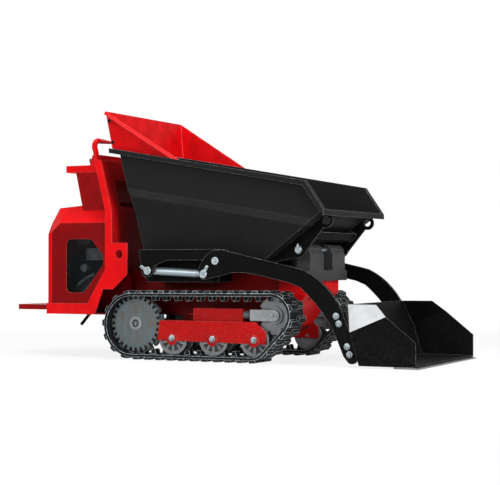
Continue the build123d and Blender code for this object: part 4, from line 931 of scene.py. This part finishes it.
@dataclass
class Bodywork:
    """Sheet work at the rear as the photograph has it: hood, bulkhead, lever guard, rail and levers."""

    datum: Datum
    wall: float = 0.003
    deck_rear: float = -0.603
    deck_half: float = 0.372
    deck_top: float = 0.303
    post_rear: float = -0.207
    post_top: float = 0.830
    strip_lean: float = 0.2546
    hood_corner: float = 0.033
    hood_corner_top: float = 0.715
    hood_corner_lean: Pair = (-0.263, 0.965)
    hood_shoulder: float = 0.763
    hood_shoulder_x: float = -0.514
    hood_rear_top: float = 0.762
    hood_foot_x: float = -0.326
    hood_foot_lean: Pair = (0.194, -0.119)
    roof_rear: Pair = (-0.576, 0.853)
    roof_front: float = 0.886
    window: Outline = ((-0.473, 0.365), (-0.473, 0.670), (-0.305, 0.670), (-0.224, 0.578),
                       (-0.224, 0.525), (-0.352, 0.365))
    window_radius: float = 0.034
    bulkhead_front: float = -0.165
    bulkhead_top: float = 1.118
    bulkhead_bottom: float = 0.490
    bulkhead_wall: float = 0.006
    opening_half: float = 0.275
    opening: Pair = (0.856, 1.012)
    rail_radius: float = 0.016
    rail_half: float = 0.3165
    rail_foot: Pair = (-0.288, 1.060)
    rail_top: Pair = (-0.323, 1.237)
    rail_bend: Triple = (0.006, 0.048, -0.048)
    lever_x: float = -0.455
    lever_base: float = 1.059
    lever_length: float = 0.076
    lever_pitch: float = 0.09
    lever_count: int = 4
    guard_foot: Pair = (-0.361, -0.284)
    guard_top: Pair = (-0.343, -0.289)
    guard_low: float = 1.096
    guard_high: float = 1.153
    guard_half: float = 0.3
    bay_plate: Outline = ((-0.345, 0.256), (-0.228, 0.470), (-0.112, 0.470), (-0.112, 0.380), (-0.205, 0.256))
    bay_plate_faces: Pair = (0.246, 0.250)
    bay_strip: Outline = ((-0.349, 0.256), (-0.232, 0.470), (-0.227, 0.470), (-0.344, 0.256))
    bay_strip_faces: Pair = (0.251, 0.275)
    rim_rear: Pair = (-0.146, 1.176)
    rim_slope: float = 0.17515
    wing_half: float = 0.408
    wing_foot_x: float = -0.142
    wing_nose_x: float = 0.281
    wing_top: Triple = (-0.172, 0.432, 1.384)
    wing_fold: Pair = (0.019, -0.017)

    def hood_planes(self, wall: float) -> list[tuple[Points, Triple]]:
        """Planes of the hood's outer form, or of its hollow when there is a wall.

        The sides are upright, the shoulders lean 45 degrees, and the rear top corners are cut off by a plane
        through three corners a, b, c whose normal is (b - a) x (c - a).

        Args:
            wall: how far the closed sides move inward.

        Returns:
            Pairs of a point and an outward normal.
        """
        at, through = self.datum.at, -0.02 if wall else 0.0
        rear, half, shoulder, roof_x, roof_z = (
            self.deck_rear, self.deck_half, self.hood_shoulder, *self.roof_rear)
        closed = [
            (at(rear, 0, 0), (-1, 0, 0)),
            (at(rear, 0, self.hood_rear_top), (self.hood_rear_top - roof_z, 0, roof_x - rear)),
            (at(roof_x, 0, roof_z), (roof_z - self.roof_front, 0, self.post_rear - roof_x)),
        ]
        back, out = self.hood_corner_lean
        for side in SIDES.values():
            a = at(rear + self.hood_corner, side * half, self.hood_corner_top)
            b = at(self.hood_shoulder_x, side * half, shoulder)
            c = at(roof_x, side * (half - roof_z + shoulder), roof_z)
            lean = np.cross(b - a, c - a)
            closed += [(at(0, side * half, 0), (0, side, 0)), (at(0, side * half, shoulder), (0, side, 1)),
                       (a, (back, side * out, 0)), (a, tuple(lean * np.sign(lean[2])))]
        ahead, down = self.hood_foot_lean
        open_sides = [(at(0, 0, self.deck_top), (0, 0, -1)), (at(self.post_rear, 0, 0), (1, 0, 0)),
                      (at(self.hood_foot_x, 0, self.deck_top), (ahead, 0, down))]
        moved = [(place, normal, wall) for place, normal in closed]
        moved += [(place, normal, through) for place, normal in open_sides]
        return [(place - np.array(normal) / np.linalg.norm(normal) * inward, normal)
                for place, normal, inward in moved]

    def hood(self) -> None:
        """Thin shell with the window cut through both side panels."""
        shell, hollow, window = Stock("hood_shell"), Stock("hollow"), Stock("window")
        shell.clipped(self.hood_planes(0.0))
        hollow.clipped(self.hood_planes(self.wall))
        window.slab(rounded(self.datum.flat(*self.window), self.window_radius), -0.5, 0.5)
        shell.carve(hollow, window)
        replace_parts(shell.finish("chassis", Slot.RED, HOOD_PAINT), "hood")

    def bulkhead(self) -> None:
        """Plate flush with the posts that leans back above its bend, with a service opening."""
        lean = self.strip_lean * (self.bulkhead_top - self.post_top)
        front, rear, bend, bottom, top = (
            self.bulkhead_front, self.post_rear, self.post_top, self.bulkhead_bottom, self.bulkhead_top)
        plate, hollow, opening = Stock("bulkhead_plate"), Stock("hollow"), Stock("opening")
        plate.slab(self.datum.flat((front, bottom), (front, bend), (front - lean, top), (rear - lean, top),
                             (rear, bend), (rear, bottom)), -self.deck_half, self.deck_half)
        inner, half = front - self.bulkhead_wall, self.deck_half - self.bulkhead_wall
        low, high = bottom - 0.02, top + 0.02
        hollow.slab(self.datum.flat((inner, low), (inner, bend), (inner - lean * 1.069, high), (-0.5, high),
                              (-0.5, low)), -half, half)
        low, high = self.opening
        opening.slab(self.datum.flat((front - 0.1, low), (front + 0.02, low), (front + 0.02, high),
                               (front - 0.1, high)), -self.opening_half, self.opening_half)
        plate.carve(hollow, opening)
        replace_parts(plate.finish("chassis", Slot.RED, FRAME_PAINT), "bulkhead")

    def rail(self) -> None:
        """Grab rail, its corners bent in quarter turns."""
        foot, top = (self.datum.at(x, -self.rail_half, z) for x, z in (self.rail_foot, self.rail_top))
        rise = foot + np.linspace(0.0, 0.7, 4)[:, None] * (top - foot)
        turn = np.linspace(0.0, math.pi / 2, 9)[:, None]
        shares = np.hstack([1 - np.sin(turn), 1 - np.cos(turn), 1 - np.sin(turn)])
        right = np.vstack([rise, top + shares * self.rail_bend])
        stock = Stock("bent_rail")
        stock.tube(np.vstack([right, right[::-1] * (1, -1, 1)]), self.rail_radius, 20)
        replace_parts(stock.finish("chassis", Slot.RED, smooth=True), "grab_handle")

    def levers(self) -> None:
        """Levers with rubber boots, collars and pear-shaped grips."""
        stock, top = Stock("lever_row"), self.lever_length
        boot = ((0.0, 0.018), (0.006, 0.017), (0.008, 0.013), (0.012, 0.014), (0.016, 0.0105),
                (0.020, 0.011), (0.024, 0.006), (0.024, 0.0055), (top - 0.022, 0.0055))
        grip = ((top - 0.022, 0.0075), (top - 0.012, 0.010), (top - 0.002, 0.0135), (top + 0.006, 0.014),
                (top + 0.012, 0.0105), (top + 0.014, 0.0))
        for number in range(self.lever_count):
            y = (number - (self.lever_count - 1) / 2) * self.lever_pitch
            place = self.datum.at(self.lever_x, y, self.lever_base)
            stock.turned([(0.0, 0.0), *boot, *grip], place, (0, 0, 1), 20)
        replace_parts(stock.finish("chassis", Slot.KNOB, smooth=True), "control_levers")

    def lever_guard(self) -> None:
        """Open box in front of the levers, its rear and front faces leaning to a narrow top."""
        box, hollow, half = Stock("lever_box"), Stock("hollow"), self.guard_half
        (rear_foot, front_foot), (rear_top, front_top) = self.guard_foot, self.guard_top
        for stock, inward, low in ((box, 0.0, self.guard_low), (hollow, self.wall, self.guard_low - 0.016)):
            high = self.guard_high - inward
            stock.slab(self.datum.flat((rear_foot + inward, low), (rear_top + inward, high),
                                 (front_top - inward, high), (front_foot - inward, low)),
                       inward - half, half - inward)
        box.carve(hollow)
        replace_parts(box.finish("chassis", Slot.RED), "lever_guard")

    def bay_sides(self) -> None:
        """Inner side plates of the engine bay, each with a folded strip along its slanted edge."""
        for name, side in SIDES.items():
            plate = Stock(f"bay_side_{name}")
            plate.slab(self.datum.flat(*self.bay_plate), *(side * y for y in self.bay_plate_faces))
            plate.slab(self.datum.flat(*self.bay_strip), *(side * y for y in self.bay_strip_faces))
            # The chassis finish gives these plates its painted shade.
            plate.finish("chassis", Slot.RED, CHASSIS_RED_WITH_PAINTED_SHADE)

    def on_rim(self, x: float, y: float) -> Points:
        """A point just above the skip's sloping rim."""
        rear_x, rear_z = self.rim_rear
        return self.datum.at(x, y, rear_z - self.rim_slope * (x - rear_x) + 0.0005)

    def spill_guard(self) -> None:
        """Rear wall and two leaning wings on the rim, each wing's upper edge folded down and outward."""
        stock, feet, tops = Stock("folded_spill_guard"), [], []
        x, y, z = self.wing_top
        out, down = self.wing_fold
        for side in SIDES.values():
            foot = self.on_rim(self.wing_foot_x, side * self.wing_half)
            nose = self.on_rim(self.wing_nose_x, side * self.wing_half)
            top = self.datum.at(x, side * y, z)
            feet.append(foot)
            tops.append(top)
            stock.sheet((foot, nose, top) if side < 0 else (foot, top, nose), -self.wall)
            fold = np.array([0.0, side * out, down])
            edge = (top, nose, nose + fold, top + fold)
            stock.sheet(edge if side < 0 else edge[::-1], -0.0026)
            stock.sheet((nose, nose + fold, nose + fold * (1, 1, 1.4), nose + (0.012, 0.0, -0.004)), 0.002)
        stock.sheet((*feet, *tops[::-1]), self.wall)
        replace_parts(stock.finish("skip_body", Slot.RED, GUARD_PAINT), "spill_guard")

    def build(self) -> None:
        """Make all of it."""
        for make in (self.spill_guard, self.hood, self.bulkhead, self.rail, self.levers, self.lever_guard,
                     self.bay_sides):
            make()


@dataclass
class RunningGear:
    """Fine forms of the tracks: outer tooth plates, hub rings, tensioner screws, and painted shade in the
    hubs' bores and the rollers' recesses.
    """

    datum: Datum
    track_centre: float = 0.349
    axle_z: float = 0.198
    gear_face: float = 0.3892
    gear_plate: float = 0.0085
    gear_radius: float = 0.156
    teeth: int = 28
    gap_radius: float = 0.0084
    gap_depth: float = 0.022
    hub_screws: int = 6
    hub_screw_circle: float = 0.0115
    thread_start: float = 0.6605
    thread_z: float = 0.254
    thread_length: float = 0.047
    thread_pitch: float = 0.0014
    thread_radii: Pair = (0.0195, 0.0225)
    pocket_floor: float = 0.3836
    pocket: Pair = (0.029, 0.070)
    pockets: int = 5
    spoke: float = 0.015

    def gear_outline(self) -> Points:
        """Outline of the toothed plate in the sprocket's plane.

        Each gap is a half circle of radius g about a point R - d + g out, with straight flanks, and each
        tooth's corners are eased by points 0.8 mm below the tip circle R.

        Returns:
            Points (n, 2) about the axle, counter-clockwise.
        """
        radius, gap = self.gear_radius, self.gap_radius
        centre = radius - self.gap_depth + gap
        shape = [(radius - 0.004, -gap - 0.0006)]
        shape += [(centre + gap * math.cos(a), gap * math.sin(a))
                  for a in np.linspace(-math.pi / 2, -1.5 * math.pi, 9)]
        shape.append((radius - 0.004, gap + 0.0006))
        start = math.atan2(gap, radius)
        for share, drop in ((0.16, 0.0008), (0.3, 0.0), (0.5, 0.0), (0.7, 0.0), (0.84, 0.0008)):
            angle = start + share * (2 * math.pi / self.teeth - 2 * start)
            shape.append(((radius - drop) * math.cos(angle), (radius - drop) * math.sin(angle)))
        angle = 2 * np.pi * np.arange(self.teeth)[:, None] / self.teeth
        x, z = np.array(shape).T
        turned = (x * np.cos(angle) - z * np.sin(angle), x * np.sin(angle) + z * np.cos(angle))
        return np.stack(turned, -1).reshape(-1, 2)

    def build(self) -> None:
        """Make the pieces of both sides."""
        gear, hub = Stock("sprocket_outer_plates"), Stock("sprocket_hub_rings")
        bore, thread = Stock("hub_bore_shade"), Stock("tensioner_screws")
        ring = [(0.0, 0.021), (0.0, 0.040), (0.004, 0.040), (0.006, 0.037), (0.006, 0.0245), (0.004, 0.021),
                (0.0, 0.021)]
        ridges = [(x, self.thread_radii[number % 2])
                  for number, x in enumerate(np.arange(0.0, self.thread_length, self.thread_pitch))]
        for side in SIDES.values():
            out = outward(side)
            centre = self.datum.at(0.0, side * (self.gear_face + 0.0002), self.axle_z)
            gear.slab(self.gear_outline() + centre[[0, 2]],
                      side * (self.gear_face - self.gear_plate), side * self.gear_face)
            hub.turned(ring, centre, out, 40)
            # Painted shade: a thin black disc stands for the hub's bore.
            bore.turned(disc(0.0205, 0.0008), centre, out, 32)
            for number in range(self.hub_screws):
                angle = number * 2 * math.pi / self.hub_screws + 0.3
                around = np.array([math.cos(angle), 0.0, math.sin(angle)])
                HUB_SCREW.add(hub, centre + around * self.hub_screw_circle, out)
            hub.turned([(0.0, 0.0), (0.0, 0.006), (0.002, 0.006), (0.0025, 0.0)], centre, out, 16)
            thread.turned([(0.0, 0.0), *ridges, (self.thread_length, 0.0)],
                          self.datum.at(self.thread_start, side * self.track_centre, self.thread_z),
                          (1, 0, 0), 28)
        gear.finish("chassis", Slot.STEEL, bevel=0.001)
        hub.finish("chassis", Slot.STEEL, CAST_IRON, smooth=True)
        bore.finish("chassis", Slot.KNOB, HOLE_SHADE)
        thread.finish("chassis", Slot.CAST, CAST_IRON)
        self.shade_pockets()

    def shade_pockets(self) -> None:
        """Painted shade in the recesses between the rollers' spokes, as thin dark sheets on their floors."""
        stock = Stock("roller_pocket_shade")
        inner, outer = self.pocket
        for side in SIDES.values():
            for x in ROLLERS_X:
                for number in range(self.pockets):
                    middle = math.pi / 2 + (number + 0.5) * 2 * math.pi / self.pockets
                    outline = []
                    for radius, order in ((inner, 1.0), (outer, -1.0)):
                        half = math.pi / self.pockets - math.asin(self.spoke / 2 / radius)
                        angle = middle + order * half * np.linspace(-1.0, 1.0, 9)
                        outline += zip(self.datum.axle_x + x + radius * np.cos(angle),
                                       ROLLERS_Z + radius * np.sin(angle))
                    stock.slab(outline, side * (self.pocket_floor - 0.0004), side * self.pocket_floor)
        stock.finish("chassis", Slot.CAST, POCKET_SHADE)


@dataclass
class SmallMarks:
    """Painted shade of slots and small holes, as thin black pieces on the surfaces that have them, and dark
    bolt heads.
    """

    datum: Datum
    nose_normal: Triple = (0.74, 0.0, -0.67)
    nose_up: Triple = (0.67, 0.0, 0.74)
    slot_place: Triple = (0.9434, 0.118, 0.3394)
    slot_angle: float = -25.0
    slot_half: float = 0.014
    slot_radius: float = 0.0065
    nose_hole: Triple = (0.973, 0.146, 0.406)
    console_hole: Triple = (-0.3744, 0.3, 1.026)
    hole_radius: float = 0.005
    guard_bolts: Outline = ((-0.1353, 1.212), (-0.151, 1.330))
    guard_face: float = 0.4122
    guard_lean: float = 0.12

    def at(self, side: float, place: Triple) -> Points:
        """A place that each side of the machine has."""
        x, y, z = place
        return self.datum.at(x, side * y, z)

    def build(self) -> None:
        """Make the marks of the chassis and those of the skip's guard."""
        chassis, skip = Stock("chassis_hole_shade"), Stock("guard_bolts")
        down, up, turn = np.array(self.nose_normal), np.array(self.nose_up), math.radians(self.slot_angle)
        slot = [(self.slot_half * np.sign(math.cos(a)) + self.slot_radius * math.cos(a),
                 self.slot_radius * math.sin(a))
                for a in np.linspace(0.1, 2 * math.pi + 0.1, 20, endpoint=False)]
        bolt = knob((0.0, 0.010), (0.004, 0.009), (0.005, 0.006))
        for side in SIDES.values():
            out = outward(side)
            along = math.cos(turn) * out + math.sin(turn) * up
            across = np.cross(down, along)
            thickness = 0.0006 * float(np.dot(np.cross(along, across), down))
            chassis.plate(slot, self.at(side, self.slot_place) + down * 0.0002, along, across, thickness)
            hole = disc(self.hole_radius, 0.0005)
            chassis.turned(hole, self.at(side, self.nose_hole), (1, 0, 0), 16)
            chassis.turned(hole, self.at(side, self.console_hole), out, 16)
            for x, z in self.guard_bolts:
                y = self.guard_face + (z - self.guard_bolts[0][1]) * self.guard_lean
                skip.turned(bolt, self.at(side, (x, y, z)), (0.02, side * 0.99, -self.guard_lean), 20)
        chassis.finish("chassis", Slot.KNOB, HOLE_SHADE)
        skip.finish("skip_body", Slot.BLACK, BLACK_PAINT, smooth=True)


@dataclass
class EngineDress:
    """What shows of the engine through the window: finned head, fan housing, filter, pipes and fittings."""

    datum: Datum
    depth: float = 0.285
    head_depth: float = 0.09
    fitting_depth: float = 0.02
    head: Pair = (-0.395, -0.268)
    fins: int = 8
    fin_start: float = 0.552
    fin_pitch: float = 0.0085
    fin_height: float = 0.0055
    core: Pair = (0.55, 0.618)
    fan: Triple = (-0.43, 0.19, 0.375)
    housing: Triple = (-0.435, 0.20, 0.505)
    fittings: Outline = ((-0.525, 0.515), (-0.512, 0.495), (-0.530, 0.480))
    filter_place: Pair = (-0.46, 0.70)

    def block(self, stock: Stock, side: float, margin: float, low: float, high: float, drop: float) -> None:
        """Box of the cylinder head, moved in at its ends by a margin and at its outer face by a drop."""
        rear, front = (self.datum.axle_x + x for x in self.head)
        rear, front = rear + margin, front - margin
        stock.slab([(rear, low), (front, low), (front, high), (rear, high)],
                   side * (self.depth - self.head_depth), side * (self.depth - drop))

    def build(self) -> None:
        """Make the castings and the bright fittings on both sides of the block."""
        castings, bright = Stock("engine_castings"), Stock("engine_bright_parts")
        cover = knob((0.0, 0.07), (0.025, 0.066), (0.037, 0.05), (0.037, 0.034), (0.045, 0.026))
        cone = [(0.0, 0.0), (0.0, 0.026), (0.05, 0.024), (0.056, 0.0)]
        fitting = knob((0.0, 0.011), (0.03, 0.011), (0.034, 0.008))
        bend = np.linspace(0.0, 1.0, 24)
        for side in SIDES.values():
            out = outward(side)
            for z in self.fin_start + self.fin_pitch * np.arange(self.fins):
                self.block(castings, side, 0.0, z, z + self.fin_height, 0.0)
            self.block(castings, side, 0.01, *self.core, 0.012)
            for profile, (x, y, z), turns in ((cover, self.fan, 32), (cone, self.housing, 20)):
                castings.turned(profile, self.datum.at(x, side * y, z), out, turns)
            for x, z in self.fittings:
                place = self.datum.at(x, side * (self.depth - self.fitting_depth), z)
                bright.turned(fitting, place, out, 16)
            castings.tube(np.stack([self.datum.axle_x - 0.38 - 0.10 * np.sin(bend * math.pi / 2),
                                    side * (0.22 + 0.05 * np.sin(bend * math.pi)), 0.47 - 0.12 * bend], -1),
                          0.011, 12)
        x, z = self.filter_place
        castings.tube([self.datum.at(x, y, z) for y in (-0.22, -0.21, 0.0, 0.21, 0.22)],
                      np.array([0.05, 0.062, 0.062, 0.062, 0.05]), 24)
        castings.finish("chassis", Slot.ENGINE, bevel=0.001, smooth=True)
        bright.finish("chassis", Slot.ZINC, smooth=True)


def main() -> None:
    """Build the scene's classes in order, the floor set at the bottom of the model's box."""
    logging.basicConfig(level=logging.INFO, format="%(name)s: %(message)s")
    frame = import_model()
    cad_box = [list(corner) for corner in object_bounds()]
    low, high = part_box("sprocket_right")
    datum = Datum((low.x + high.x) / 2)
    Studio(ground=cad_box[0][2]).build()
    SHOP.dress_frame(frame, NODE_FINISH)
    for group in (Bodywork, RunningGear, Fasteners, HoodWindow, SmallMarks, EngineDress):
        group(datum).build()


if __name__ == "__main__":
    main()
